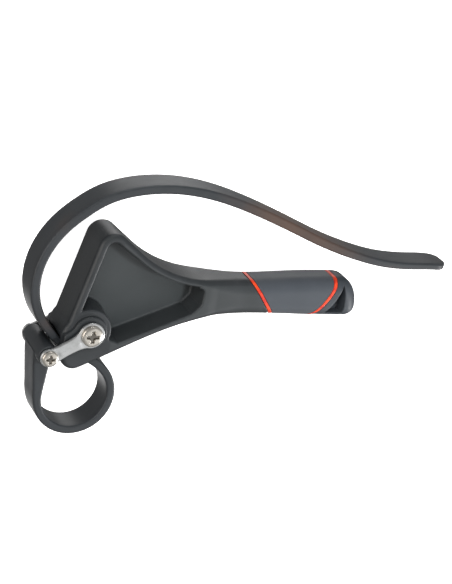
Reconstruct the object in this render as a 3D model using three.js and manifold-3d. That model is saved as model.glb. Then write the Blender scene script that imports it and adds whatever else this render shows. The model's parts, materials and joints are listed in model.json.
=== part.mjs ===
// Rubber strap wrench: a moulded lever with a soft grip, two steel links that swing on a main pivot,
// and a thick flat rubber strap that is held by its moulded eye on the links' cross pin.
// Millimetres. While the pieces are made, the main pivot's axis is the Z axis and X runs along the
// handle to the butt. At the end the whole object is moved so that it lies on Z = 0, centred on X and Y.
import * as THREE from 'three';
import { mergeVertices } from 'three/addons/utils/BufferGeometryUtils.js';
import Module from 'manifold-3d';

const wasm = await Module();
wasm.setup();

// ---- Driving dimensions -------------------------------------------------------------------------

const fitGap = 0.3;                 // between pieces that touch or turn on each other
const faceGap = 0.2;                // between stacked flat faces

// Strap
const strapWidth = 22;
const strapThickness = 6.2;
const loopThickness = 5.6;          // the strap is drawn a little thinner round the working loop
const tipThickness = 4.2;
const loopRadius = 25;              // middle of the strap round the working loop
const loopCentre = new THREE.Vector2(-2, -47.3);
const loopLeaveAngle = 40;          // degrees, where the strap leaves the circle for the slot
const slotSideGap = 0.5;            // strap edge to slot cheek
const slotFaceGap = 0.5;            // strap face to slot wall
const mouthFromPin = new THREE.Vector2(5.6, 9.1);   // middle of the strap where it leaves the slot
const mouthHeading = 132.8;         // degrees, the strap's way out of the slot
const tipLength = 9;                // rounded end of the tail

// Head
const headThickness = 31;
const headEdge = 2.2;
const apexCentre = new THREE.Vector2(9.4, 56.2);
const apexRadius = 10.4;
const saddleCentre = new THREE.Vector2(82, 117.5);
const saddleRadius = 83;
const slopeAngle = 14.5;            // degrees, lean of the sloped front face
const slopeLength = 54.4;
const noseRadius = 9.2;
const noseGap = 2.9;                // free space between the eye and the nose
const noseTurn = -6.1;              // degrees, from the eye to the nose
const flangeWall = 4.4;
const slopeWall = 5.4;
const bottomWall = 3.6;
const frontRecessDepth = 20.5;
const rearRecessDepth = 5.5;
const recessRightX = 76;
const bossRadius = 14.8;
const lipFromPin = new THREE.Vector2(7.9, 12.9);    // lower end of the lip under the notch
const lipBend = new THREE.Vector2(0.8, -4);         // the lip's swell, off its lower end and the notch
const headEndX = 92;
const handleBottomY = 8.9;
const noseLeaveAngle = -66;         // degrees on the nose, where the underside begins
const undersideNear = new THREE.Vector2(24, -13.5); // the underside's sweep out of the nose
const undersideFarX = 62;           // the underside's sweep into the neck
const recessTopCorner = 4;
const recessTopDrop = 0.6;          // the recess's top right corner below the flange
const recessFootCorner = 3;
const recessEndLean = 0.6;          // how far the recess's right end leans in at its foot
const recessFootBend = new THREE.Vector2(48, -1);   // the recess floor line's sweep, off the bottom wall
const recessFootFromNose = 28;
const recessFootY = -14;
const recessFootRise = 1.6;         // rise of that end for each millimetre of bottom wall
const bossLeaveAngle = -17;         // degrees on the boss, where the recess's foot meets it
const bossMeetAngle = 108;          // degrees on the boss, where the recess's slope meets it
const padRise = 3;                  // raised pad under each link
const padMargin = 2.8;              // pad edge beyond the link's edge

// Links and their pins
const linkLength = 30.3;
const linkRestAngle = 210.5;        // degrees from +X to the cross pin
const linkThickness = 2;
const linkBigRadius = 8.8;
const linkSmallRadius = 6.2;
const linkWaist = 4.8;              // half width of the middle of the link
const linkBigTurn = 52;             // degrees, where the waist leaves the big end
const linkSmallTurn = 100;          // degrees, where the waist meets the small end
const linkWaistStart = 0.45;        // shares of the link's length between which the waist settles
const linkWaistEnd = 0.62;
const linkHaunch = new THREE.Vector2(0.95, 0.2);    // bend beside the big end: share of it, and extra width
const washerThickness = 0.6;
const pivotBarrelRadius = 4.2;
const pivotShankRadius = 2.6;
const pivotHeadRadius = 7;
const pivotHeadHeight = 2.6;
const bushWall = 1.2;
const bushLength = 10;
const crossBarrelRadius = 3.4;
const crossShankRadius = 1.9;
const crossHeadRadius = 5.3;
const crossHeadHeight = 2.2;
const shankReach = 9;               // how far each screw goes into its barrel
const eyeRadius = 6.9;
const eyeSleeveWall = 0.9;

// Handle
const gripDepth = 27;
const gripCorner = 9;
const gripWall = 3;
const gripTopY = 33.4;
const gripTopRise = 1.6;            // the grip is fuller towards the butt
const gripBottomY = 9;
const gripBottomDrop = 1.7;
const gripHiddenX = 74;             // the handle starts inside the head
const gripStraightX = 112;
const gripFullX = 160;
const buttRoundX = 177;             // where the top begins to round off
const buttFootX = 183;              // where the bottom begins to round off
const buttEndX = 191.4;
const buttTipY = 15;
const accentWidth = 2.2;
const frontCutTop = new THREE.Vector2(108, 36);
const frontCutLean = 0.725;         // how far the front cut runs back for each millimetre down
const rearCut = [new THREE.Vector2(174.5, 37), new THREE.Vector2(173.5, 22), new THREE.Vector2(155.5, 6)];
const coreEndX = 170;
const buttRecessDepth = 5;
const buttHollowTop = new THREE.Vector2(178.4, 31.5);
const buttHollowBack = new THREE.Vector2(180.4, 10.6);
const buttHollowFront = new THREE.Vector2(166.5, 10.6);
const buttHollowBackBend = new THREE.Vector2(181.2, 22);
const buttHollowFrontBend = new THREE.Vector2(174.5, 19);

// ---- Derived sizes ------------------------------------------------------------------------------

const headHalf = headThickness / 2;
const strapHalf = strapWidth / 2;
const padTop = headHalf + padRise;
const washerZ = padTop + faceGap;
const linkZ = washerZ + washerThickness + faceGap;
const screwZ = linkZ + linkThickness + faceGap;
const barrelHalf = washerZ + washerThickness;
const eyeHalf = padTop;
const bushRadius = pivotBarrelRadius + fitGap + bushWall;
const eyeSleeveInner = crossBarrelRadius + fitGap;
const eyeSleeveRadius = eyeSleeveInner + eyeSleeveWall;
const restTurn = THREE.MathUtils.degToRad(linkRestAngle);
const crossPin = new THREE.Vector2(linkLength, 0).rotateAround(new THREE.Vector2(), restTurn);
const noseCentre = polar(crossPin, eyeRadius + noseGap + noseRadius, noseTurn);
const mouthPoint = crossPin.clone().add(mouthFromPin);
const lipFoot = crossPin.clone().add(lipFromPin);

// ---- Materials ----------------------------------------------------------------------------------

const hardPlastic = new THREE.MeshStandardMaterial({ color: 0x23262a, roughness: 0.42, metalness: 0 });
const gripRubber = new THREE.MeshStandardMaterial({ color: 0x3b4046, roughness: 0.68, metalness: 0 });
const strapRubber = new THREE.MeshStandardMaterial({ color: 0x2b2e33, roughness: 0.6, metalness: 0 });
const accentPlastic = new THREE.MeshStandardMaterial({ color: 0xe0391c, roughness: 0.4, metalness: 0 });
const linkSteel = new THREE.MeshStandardMaterial({ color: 0xc9cccd, roughness: 0.28, metalness: 1 });
const screwSteel = new THREE.MeshStandardMaterial({ color: 0xc8bfae, roughness: 0.24, metalness: 1 });
const bushBronze = new THREE.MeshStandardMaterial({ color: 0x9a7a45, roughness: 0.4, metalness: 1 });

// ---- Solid helpers ------------------------------------------------------------------------------

// A closed geometry becomes a solid that can be joined and cut.
function solid(geometry) {
  const bare = geometry.clone();
  bare.deleteAttribute('normal');
  bare.deleteAttribute('uv');
  const merged = mergeVertices(bare, 1e-4);
  return new wasm.Manifold(new wasm.Mesh({
    numProp: 3,
    vertProperties: new Float32Array(merged.attributes.position.array),
    triVerts: new Uint32Array(merged.index.array),
  }));
}

// A solid becomes a geometry again.
function geometryOf(body) {
  const mesh = body.getMesh();
  const geometry = new THREE.BufferGeometry();
  geometry.setAttribute('position', new THREE.BufferAttribute(new Float32Array(mesh.vertProperties), 3));
  geometry.setIndex(new THREE.BufferAttribute(new Uint32Array(mesh.triVerts), 1));
  geometry.computeVertexNormals();
  return geometry;
}

function meshOf(name, body, material) {
  const mesh = new THREE.Mesh(geometryOf(body), material);
  mesh.name = name;
  return mesh;
}

// A flat shape carried from z0 to z1. A positive edge rounds both rims inside that outline.
function prism(shape, z0, z1, edge = 0, edgeSteps = 2) {
  const geometry = new THREE.ExtrudeGeometry(shape, {
    depth: z1 - z0 - 2 * edge,
    bevelEnabled: edge > 0,
    bevelThickness: edge,
    bevelSize: edge,
    bevelOffset: -edge,
    bevelSegments: edgeSteps,
    curveSegments: 9,
  });
  geometry.translate(0, 0, z0 + edge);
  return solid(geometry);
}

// A round bar along Z.
function bar(radius, z0, z1, x = 0, y = 0) {
  const sides = 32;
  const geometry = new THREE.CylinderGeometry(radius, radius, z1 - z0, sides);
  geometry.rotateX(Math.PI / 2);
  geometry.translate(x, y, (z0 + z1) / 2);
  return solid(geometry);
}

function ring(outer, inner, z0, z1, x = 0, y = 0) {
  return bar(outer, z0, z1, x, y).subtract(bar(inner, z0 - 1, z1 + 1, x, y));
}

function polar(centre, radius, degrees) {
  const turn = THREE.MathUtils.degToRad(degrees);
  return new THREE.Vector2(centre.x + radius * Math.cos(turn), centre.y + radius * Math.sin(turn));
}

// The same piece on the far side of the middle plane Z = 0.
function mirrored(body) {
  return body.mirror([0, 0, 1]);
}

// ---- Strap --------------------------------------------------------------------------------------

// The closed outline of a band of the given thickness along a line of points.
function bandShape(points, thicknessAt) {
  const upper = [];
  const lower = [];
  points.forEach((point, i) => {
    const before = points[Math.max(i - 1, 0)];
    const after = points[Math.min(i + 1, points.length - 1)];
    const along = after.clone().sub(before).normalize();
    const across = new THREE.Vector2(-along.y, along.x);
    const half = thicknessAt(i / (points.length - 1)) / 2;
    upper.push(point.clone().addScaledVector(across, half));
    lower.push(point.clone().addScaledVector(across, -half));
  });
  return new THREE.Shape([...upper, ...lower.reverse()]);
}

// Middle line of the working loop: straight down from the eye, then round the circle to the slot.
const loopTopY = crossPin.y - eyeRadius - fitGap;
const loopLeftX = loopCentre.x - loopRadius;
const loopArc = new THREE.EllipseCurve(
  loopCentre.x, loopCentre.y, loopRadius, loopRadius,
  Math.PI, THREE.MathUtils.degToRad(360 + loopLeaveAngle), false, 0,
).getPoints(36);
const loopLine = [
  new THREE.Vector2(loopLeftX, loopTopY),
  new THREE.Vector2(loopLeftX, (loopTopY + loopCentre.y) / 2),
  ...loopArc,
];

// Middle line through the slot, from the end of the circle to the mouth beside the eye.
const slotStart = polar(loopCentre, loopRadius, loopLeaveAngle);
const slotIn = polar(slotStart, 16, loopLeaveAngle + 90);
const slotOut = polar(mouthPoint, -12, mouthHeading);
const slotCurve = new THREE.CubicBezierCurve(slotStart, slotIn, slotOut, mouthPoint);
const slotPoints = slotCurve.getSpacedPoints(20);

// Middle line of the loose loop and the tail above the head.
const upperLine = new THREE.SplineCurve([
  mouthPoint,
  mouthPoint.clone().add(new THREE.Vector2(-5.7, 6.3)),
  mouthPoint.clone().add(new THREE.Vector2(-12, 15.3)),
  new THREE.Vector2(-37, 21),
  new THREE.Vector2(-37.9, 33),
  new THREE.Vector2(-36, 45),
  new THREE.Vector2(-31, 57),
  new THREE.Vector2(-23, 68.3),
  new THREE.Vector2(-11.5, 78.7),
  new THREE.Vector2(4, 88.8),
  new THREE.Vector2(22.8, 94.2),
  new THREE.Vector2(43, 95.9),
  new THREE.Vector2(63, 94.3),
  new THREE.Vector2(84, 89.6),
  new THREE.Vector2(108, 81.4),
  new THREE.Vector2(132, 71.7),
  new THREE.Vector2(157, 61),
  new THREE.Vector2(181, 52.6),
  new THREE.Vector2(205, 46.6),
  new THREE.Vector2(226, 44.6),
  new THREE.Vector2(244, 44.6),
  new THREE.Vector2(257, 43.6),
]);
const upperPoints = upperLine.getSpacedPoints(80);
const upperEnd = 53;                // index where the loose loop ends and the thinner tail begins
const slotInner = 10;               // index of the slot point where the loop's run ends

function endShortened(points, startTrim, endTrim) {
  const first = points[0].clone();
  const last = points[points.length - 1].clone();
  const firstWay = points[1].clone().sub(first).normalize();
  const lastWay = points[points.length - 2].clone().sub(last).normalize();
  first.addScaledVector(firstWay, startTrim);
  last.addScaledVector(lastWay, endTrim);
  return [first, ...points.slice(1, -1), last];
}

function strapRun(points, thicknessAt, startTrim, endTrim) {
  const line = endShortened(points, startTrim, endTrim);
  return prism(bandShape(line, thicknessAt), -strapHalf, strapHalf);
}

// Below the eye the strap is a wedge that thins out to its loop thickness before the circle begins.
function loopThicknessAt(share) {
  const wedgeShare = 0.16;
  const eased = THREE.MathUtils.smoothstep(wedgeShare - share, 0, wedgeShare);
  return loopThickness + eased * (1.5 * eyeRadius - loopThickness);
}

function makeStrapLoop() {
  const points = [...loopLine, ...slotPoints.slice(1, slotInner + 1)];
  return strapRun(points, loopThicknessAt, 0, fitGap / 2);
}

function makeSlotRun() {
  const points = [...slotPoints.slice(slotInner), ...upperPoints.slice(1, 3)];
  return strapRun(points, () => loopThickness, fitGap / 2, fitGap / 2);
}

function makeStrapUpper() {
  return strapRun(upperPoints.slice(2, upperEnd + 1), () => strapThickness, fitGap / 2, fitGap / 2);
}

// The tail thins towards a rounded tip.
function makeStrapTail() {
  const points = upperPoints.slice(upperEnd);
  const thin = (share) => THREE.MathUtils.lerp(strapThickness, tipThickness, share);
  const band = strapRun(points, thin, fitGap / 2, 0);
  const endX = points[points.length - 1].x;
  const plan = new THREE.Shape();
  plan.moveTo(points[0].x - 20, -strapWidth);
  plan.lineTo(endX - tipLength, -strapWidth);
  plan.lineTo(endX - tipLength, -strapHalf);
  plan.absellipse(endX - tipLength, 0, tipLength, strapHalf, -Math.PI / 2, Math.PI / 2, false, 0);
  plan.lineTo(endX - tipLength, strapWidth);
  plan.lineTo(points[0].x - 20, strapWidth);
  plan.closePath();
  const cutter = new THREE.ExtrudeGeometry(plan, { depth: 200, bevelEnabled: false, curveSegments: 14 });
  cutter.rotateX(Math.PI / 2);
  cutter.translate(0, 120, 0);
  return band.intersect(solid(cutter));
}

// The moulded eye: a round end wider than the strap, bored for its steel sleeve.
function makeEye() {
  const body = bar(eyeRadius, -eyeHalf, eyeHalf, crossPin.x, crossPin.y);
  return body.subtract(bar(eyeSleeveRadius + fitGap, -eyeHalf - 1, eyeHalf + 1, crossPin.x, crossPin.y));
}

// ---- Head ---------------------------------------------------------------------------------------

// The straight line that touches two circles on opposite sides, the first from above its right side.
function innerTangent(centreA, radiusA, centreB, radiusB) {
  const between = centreB.clone().sub(centreA);
  const heading = Math.atan2(between.y, between.x);
  const opening = Math.acos((radiusA + radiusB) / between.length());
  const normal = heading + opening;
  const way = new THREE.Vector2(Math.cos(normal), Math.sin(normal));
  return { angle: normal, from: centreA.clone().addScaledVector(way, radiusA), way };
}

const lean = THREE.MathUtils.degToRad(slopeAngle);
const slopeWay = new THREE.Vector2(Math.sin(lean), Math.cos(lean));
const slopeTop = polar(apexCentre, apexRadius, 180 - slopeAngle);
const notch = slopeTop.clone().addScaledVector(slopeWay, -slopeLength);
const saddleLine = innerTangent(apexCentre, apexRadius, saddleCentre, saddleRadius);
const handleTopY = saddleCentre.y - saddleRadius;

function headShape() {
  const noseLeave = polar(noseCentre, noseRadius, noseLeaveAngle);
  const noseTurnStart = THREE.MathUtils.degToRad(noseLeaveAngle);
  const shape = new THREE.Shape();
  shape.moveTo(notch.x, notch.y);
  shape.lineTo(slopeTop.x, slopeTop.y);
  shape.absarc(apexCentre.x, apexCentre.y, apexRadius, Math.PI - lean, saddleLine.angle, true);
  shape.absarc(saddleCentre.x, saddleCentre.y, saddleRadius, saddleLine.angle + Math.PI, 1.5 * Math.PI, false);
  shape.lineTo(headEndX, handleTopY);
  shape.lineTo(headEndX, handleBottomY);
  shape.bezierCurveTo(
    undersideFarX, handleBottomY, undersideNear.x, undersideNear.y,
    noseLeave.x, noseLeave.y,
  );
  shape.absarc(noseCentre.x, noseCentre.y, noseRadius, noseTurnStart, -Math.PI, true);
  shape.lineTo(lipFoot.x, lipFoot.y);
  shape.quadraticCurveTo(lipFoot.x + lipBend.x, notch.y + lipBend.y, notch.x, notch.y);
  return shape;
}

// The recess between the flanges: sloped side, apex, saddle side, right end, bottom flange, boss.
function recessShape() {
  const inApex = apexRadius - flangeWall;
  const inSlope = slopeTop.clone().add(new THREE.Vector2(slopeWay.y, -slopeWay.x).multiplyScalar(slopeWall));
  const slopeFoot = inSlope.clone().addScaledVector(slopeWay, -(slopeTop.y - bossRadius - 1) / slopeWay.y);
  const topRight = new THREE.Vector2(recessRightX, handleTopY - flangeWall - recessTopDrop);
  const bottomRight = new THREE.Vector2(recessRightX - recessEndLean, handleBottomY + bottomWall);
  const footY = recessFootY + recessFootRise * bottomWall;
  const bottomLeft = new THREE.Vector2(noseCentre.x + recessFootFromNose, footY);
  const bossLeave = polar(new THREE.Vector2(), bossRadius, bossLeaveAngle);
  const bossStart = THREE.MathUtils.degToRad(bossLeaveAngle);
  const bossStop = THREE.MathUtils.degToRad(bossMeetAngle);
  const shape = new THREE.Shape();
  shape.moveTo(slopeFoot.x, slopeFoot.y);
  shape.lineTo(inSlope.x, inSlope.y);
  shape.absarc(apexCentre.x, apexCentre.y, inApex, Math.PI - lean, saddleLine.angle, true);
  shape.absarc(
    saddleCentre.x, saddleCentre.y, saddleRadius + flangeWall,
    saddleLine.angle + Math.PI, 1.48 * Math.PI, false,
  );
  shape.quadraticCurveTo(topRight.x, topRight.y, topRight.x, topRight.y - recessTopCorner);
  shape.lineTo(bottomRight.x, bottomRight.y + recessFootCorner);
  shape.quadraticCurveTo(
    bottomRight.x, bottomRight.y,
    bottomRight.x - recessFootCorner, bottomRight.y - 1,
  );
  shape.quadraticCurveTo(recessFootBend.x, bottomWall + recessFootBend.y, bottomLeft.x, bottomLeft.y);
  shape.lineTo(bossLeave.x, bossLeave.y);
  shape.absarc(0, 0, bossRadius, bossStart, bossStop, false);
  shape.closePath();
  return shape;
}

// One link plate's outline in its own frame, from the pivot at the origin to the pin on +X.
function linkShape(margin = 0) {
  const big = linkBigRadius + margin;
  const small = linkSmallRadius + margin;
  const waist = linkWaist + margin;
  const bigTurn = THREE.MathUtils.degToRad(linkBigTurn);
  const smallTurn = THREE.MathUtils.degToRad(linkSmallTurn);
  const haunchX = big * linkHaunch.x;
  const haunchY = waist + linkHaunch.y;
  const waistStartX = linkLength * linkWaistStart;
  const waistEndX = linkLength * linkWaistEnd;
  const shape = new THREE.Shape();
  shape.absarc(0, 0, big, bigTurn, -bigTurn, false);
  shape.bezierCurveTo(haunchX, -haunchY, waistStartX, -waist, waistEndX, -waist);
  const smallStart = polar(new THREE.Vector2(linkLength, 0), small, -linkSmallTurn);
  shape.lineTo(smallStart.x, smallStart.y);
  shape.absarc(linkLength, 0, small, -smallTurn, smallTurn, false);
  shape.lineTo(waistEndX, waist);
  shape.bezierCurveTo(
    waistStartX, waist, haunchX, haunchY,
    big * Math.cos(bigTurn), big * Math.sin(bigTurn),
  );
  return shape;
}

// The pads stand under the links only as far as the head reaches.
function makePad() {
  const outline = linkShape(padMargin);
  const rooted = 4;                 // how deep the pad is set into the head's cheek
  const padEdge = 0.8;
  const startX = lipFoot.x + 1.2;
  const far = 40;
  const pad = prism(outline, headHalf - rooted, padTop, padEdge, 1).rotate([0, 0, linkRestAngle]);
  const reach = new THREE.Shape();
  reach.moveTo(startX, -far);
  reach.lineTo(far, -far);
  reach.lineTo(far, far);
  reach.lineTo(startX, far);
  reach.closePath();
  return pad.intersect(prism(reach, 0, far));
}

function makeHead() {
  const plate = prism(headShape(), -headHalf, headHalf, headEdge);
  const recess = recessShape();
  const frontFloor = headHalf - frontRecessDepth;
  const rearFloor = -headHalf + rearRecessDepth;
  const hollow = prism(recess, frontFloor, headHalf + 1).add(prism(recess, -headHalf - 1, rearFloor));
  const channelLine = endShortened([...slotPoints, ...upperPoints.slice(1, 4)], -6, 0);
  const channelWall = strapThickness + 2 * slotFaceGap;
  const channel = prism(
    bandShape(channelLine, () => channelWall),
    -strapHalf - slotSideGap, strapHalf + slotSideGap,
  );
  const bore = bar(bushRadius + faceGap, -padTop - 1, padTop + 1);
  const pad = makePad();
  return plate.subtract(hollow).add(pad).add(mirrored(pad)).subtract(channel).subtract(bore);
}

// ---- Handle -------------------------------------------------------------------------------------

// Heights of the handle's top and bottom at a distance along it, without the round end.
function gripTop(x) {
  return gripTopY + gripTopRise * THREE.MathUtils.smoothstep(x, gripStraightX, gripFullX);
}

function gripBottom(x) {
  return gripBottomY - gripBottomDrop * THREE.MathUtils.smoothstep(x, gripStraightX, buttRoundX);
}

// The height left in a quarter ellipse at a share of its length.
function roundedEnd(share) {
  return Math.sqrt(1 - THREE.MathUtils.clamp(share, 0, 1) ** 2);
}

// One ring of the handle's section: a rectangle with round corners in the plane at x.
function handleRing(x, inset) {
  const endX = buttEndX - inset;
  const topEnd = roundedEnd((x - buttRoundX) / (endX - buttRoundX));
  const footEnd = roundedEnd((x - buttFootX) / (endX - buttFootX));
  const top = buttTipY + (gripTop(x) - inset - buttTipY) * topEnd;
  const bottom = buttTipY - (buttTipY - gripBottom(x) - inset) * footEnd;
  const depthHalf = (gripDepth / 2 - inset) * Math.sqrt(footEnd);
  const corner = Math.min(gripCorner - inset, 0.48 * (top - bottom), 0.96 * depthHalf);
  const points = [];
  const cornerSteps = 4;
  for (const [signY, signZ, startTurn] of [[1, 1, 0], [-1, 1, 90], [-1, -1, 180], [1, -1, 270]]) {
    const centreY = signY > 0 ? top - corner : bottom + corner;
    const centreZ = signZ * (depthHalf - corner);
    for (let i = 0; i <= cornerSteps; i += 1) {
      const turn = THREE.MathUtils.degToRad(startTurn + (90 * i) / cornerSteps);
      points.push(x, centreY + corner * Math.cos(turn), centreZ + corner * Math.sin(turn));
    }
  }
  return points;
}

// The handle's solid: rings from inside the head to the butt, closed at both ends.
function handleSolid(inset) {
  const stations = [];
  for (let x = gripHiddenX; x < buttRoundX; x += 8) stations.push(x);
  const endSteps = 7;
  for (let i = 0; i < endSteps; i += 1) {
    const share = Math.sin((Math.PI / 2) * (i / endSteps));
    stations.push(buttRoundX + (buttEndX - inset - buttRoundX) * share);
  }
  const positions = stations.flatMap((x) => handleRing(x, inset));
  const sides = positions.length / 3 / stations.length;
  const startCentre = positions.length / 3;
  positions.push(gripHiddenX, (gripTopY + gripBottomY) / 2, 0, buttEndX - inset, buttTipY, 0);
  const index = [];
  for (let ringStep = 0; ringStep < stations.length; ringStep += 1) {
    for (let side = 0; side < sides; side += 1) {
      const here = ringStep * sides + side;
      const next = ringStep * sides + ((side + 1) % sides);
      if (ringStep === 0) index.push(startCentre, next, here);
      if (ringStep === stations.length - 1) index.push(startCentre + 1, here, next);
      else index.push(here, next, here + sides, next, next + sides, here + sides);
    }
  }
  const geometry = new THREE.BufferGeometry();
  geometry.setAttribute('position', new THREE.Float32BufferAttribute(positions, 3));
  geometry.setIndex(index);
  return solid(geometry);
}

// Cut lines across the handle. A shift moves the whole cut towards the butt.
function frontCutLine(shift) {
  const drop = 40;
  return [
    new THREE.Vector2(frontCutTop.x - 6 * frontCutLean + shift, frontCutTop.y + 6),
    new THREE.Vector2(frontCutTop.x + drop * frontCutLean + shift, frontCutTop.y - drop),
  ];
}

function rearCutLine(shift) {
  const [top, middle, foot] = rearCut;
  const line = new THREE.QuadraticBezierCurve(top, middle, foot).getPoints(12);
  const over = new THREE.Vector2(top.x, top.y + 5);
  const under = new THREE.Vector2(foot.x - 6, foot.y - 5);
  return [over, ...line, under].map((point) => new THREE.Vector2(point.x + shift, point.y));
}

// A block between two cut lines, each listed from the top down.
function between(leftLine, rightLine) {
  return prism(new THREE.Shape([...leftLine, ...rightLine.slice().reverse()]), -40, 40);
}

const farLeft = [new THREE.Vector2(60, 60), new THREE.Vector2(60, -20)];
const farRight = [new THREE.Vector2(260, 60), new THREE.Vector2(260, -20)];
const leanFactor = Math.hypot(1, frontCutLean);
const frontRingWidth = accentWidth * leanFactor;
const rearRingWidth = accentWidth * 1.2;
const cutGap = fitGap;
const gripStart = frontRingWidth + cutGap;
const rearStart = -rearRingWidth - cutGap;

const skin = handleSolid(0);
const core = handleSolid(gripWall);
const coreRoom = handleSolid(gripWall - fitGap);

function coreUpTo(body, endX) {
  const stop = [new THREE.Vector2(endX, 60), new THREE.Vector2(endX, -20)];
  return body.intersect(between(farLeft, stop));
}

function makeHandleBody() {
  const neck = skin.intersect(between(farLeft, frontCutLine(-cutGap / 2)));
  return makeHead().add(neck).add(coreUpTo(core, coreEndX));
}

function makeSkinPiece(leftLine, rightLine) {
  const room = coreUpTo(coreRoom, coreEndX + fitGap);
  return skin.intersect(between(leftLine, rightLine)).subtract(room);
}

// A three-cornered hollow in each side of the butt, behind the rear accent ring.
function buttHollow() {
  const shape = new THREE.Shape();
  shape.moveTo(buttHollowTop.x, buttHollowTop.y);
  shape.quadraticCurveTo(buttHollowBackBend.x, buttHollowBackBend.y, buttHollowBack.x, buttHollowBack.y);
  shape.lineTo(buttHollowFront.x, buttHollowFront.y);
  shape.quadraticCurveTo(buttHollowFrontBend.x, buttHollowFrontBend.y, buttHollowTop.x, buttHollowTop.y);
  return prism(shape, gripDepth / 2 - buttRecessDepth, gripDepth / 2 + 2);
}

function makeButtCap() {
  const cap = makeSkinPiece(rearCutLine(cutGap / 2), farRight);
  const hollow = buttHollow();
  return cap.subtract(hollow).subtract(mirrored(hollow));
}

// ---- Links, pins and screws ---------------------------------------------------------------------

function makeLink() {
  const plate = prism(linkShape(), linkZ, linkZ + linkThickness, 0.35, 1);
  const pivotHole = bar(pivotShankRadius + fitGap, linkZ - 1, linkZ + linkThickness + 1);
  const pinHole = bar(crossShankRadius + fitGap, linkZ - 1, linkZ + linkThickness + 1, linkLength, 0);
  return plate.subtract(pivotHole).subtract(pinHole);
}

// A pan-head screw with a cross recess, head up, shank going down into its barrel.
function makeScrew(headRadius, headHeight, shankRadius) {
  const rimHeight = headHeight * 0.45;
  const profile = [
    new THREE.Vector2(0, -shankReach),
    new THREE.Vector2(shankRadius - 0.4, -shankReach),
    new THREE.Vector2(shankRadius, -shankReach + 0.4),
    new THREE.Vector2(shankRadius, 0),
    new THREE.Vector2(headRadius, 0),
    new THREE.Vector2(headRadius, rimHeight),
  ];
  const crownSteps = 4;
  for (let i = 1; i <= crownSteps; i += 1) {
    const turn = (Math.PI / 2) * (i / crownSteps);
    const crownY = rimHeight + (headHeight - rimHeight) * Math.sin(turn);
    profile.push(new THREE.Vector2(i === crownSteps ? 0 : headRadius * Math.cos(turn * 0.93), crownY));
  }
  const geometry = new THREE.LatheGeometry(profile, 28);
  geometry.rotateX(Math.PI / 2);
  let screw = solid(geometry);
  const arm = headRadius * 0.56;
  const slot = headRadius * 0.13;
  for (const turn of [0, 90]) {
    const wing = new THREE.BoxGeometry(2 * arm, 2 * slot, headHeight);
    wing.rotateZ(THREE.MathUtils.degToRad(turn + 28));
    wing.translate(0, 0, headHeight * 1.05);
    screw = screw.subtract(solid(wing));
  }
  return screw.translate([0, 0, screwZ]);
}

// ---- Assembly -----------------------------------------------------------------------------------

const group = new THREE.Group();
const handle = new THREE.Group();
const links = new THREE.Group();
const strapEnd = new THREE.Group();
links.rotation.z = restTurn;
group.add(handle, links, strapEnd);

handle.add(meshOf('handle_body', makeHandleBody(), hardPlastic));
handle.add(meshOf(
  'front_accent_ring',
  makeSkinPiece(frontCutLine(cutGap / 2), frontCutLine(frontRingWidth - cutGap / 2)),
  accentPlastic,
));
handle.add(meshOf(
  'grip_sleeve',
  makeSkinPiece(frontCutLine(gripStart - cutGap / 2), rearCutLine(rearStart + cutGap / 2)),
  gripRubber,
));
handle.add(meshOf(
  'rear_accent_ring',
  makeSkinPiece(rearCutLine(-rearRingWidth + cutGap / 2), rearCutLine(-cutGap / 2)),
  accentPlastic,
));
handle.add(meshOf('butt_cap', makeButtCap(), hardPlastic));
handle.add(meshOf('strap_loop', makeStrapLoop(), strapRubber));
handle.add(meshOf('strap_slot_run', makeSlotRun(), strapRubber));
handle.add(meshOf('strap_upper', makeStrapUpper(), strapRubber));
handle.add(meshOf('strap_tail', makeStrapTail(), strapRubber));

const sides = [['front', (body) => body], ['rear', mirrored]];
for (const [side, place] of sides) {
  const bush = ring(bushRadius, pivotBarrelRadius + fitGap, padTop - bushLength, padTop);
  const pivotWasher = ring(linkBigRadius - 0.8, pivotBarrelRadius + fitGap, washerZ, washerZ + washerThickness);
  const crossWasher = ring(
    linkSmallRadius - 0.6, crossBarrelRadius + fitGap,
    washerZ, washerZ + washerThickness, linkLength, 0,
  );
  const pivotScrew = makeScrew(pivotHeadRadius, pivotHeadHeight, pivotShankRadius);
  const crossScrew = makeScrew(crossHeadRadius, crossHeadHeight, crossShankRadius).translate([linkLength, 0, 0]);
  handle.add(meshOf(`pivot_bush_${side}`, place(bush), bushBronze));
  links.add(meshOf(`link_${side}`, place(makeLink()), linkSteel));
  links.add(meshOf(`pivot_washer_${side}`, place(pivotWasher), linkSteel));
  links.add(meshOf(`cross_washer_${side}`, place(crossWasher), linkSteel));
  links.add(meshOf(`pivot_screw_${side}`, place(pivotScrew), screwSteel));
  links.add(meshOf(`cross_screw_${side}`, place(crossScrew), screwSteel));
}
const pivotBarrel = ring(pivotBarrelRadius, pivotShankRadius + fitGap, -barrelHalf, barrelHalf);
const crossBarrel = ring(crossBarrelRadius, crossShankRadius + fitGap, -barrelHalf, barrelHalf, linkLength, 0);
links.add(meshOf('pivot_barrel', pivotBarrel, screwSteel));
links.add(meshOf('cross_barrel', crossBarrel, screwSteel));

const eyeSleeve = ring(eyeSleeveRadius, eyeSleeveInner, -eyeHalf, eyeHalf, crossPin.x, crossPin.y);
strapEnd.add(meshOf('strap_eye', makeEye(), strapRubber));
strapEnd.add(meshOf('eye_sleeve', eyeSleeve, linkSteel));

// The object lies on its rear screw heads: its lowest point is at Z = 0 and its box is centred.
group.updateMatrixWorld(true);
const box = new THREE.Box3().setFromObject(group, true);
group.position.set(-(box.min.x + box.max.x) / 2, -(box.min.y + box.max.y) / 2, -box.min.z);

export default group;
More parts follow.
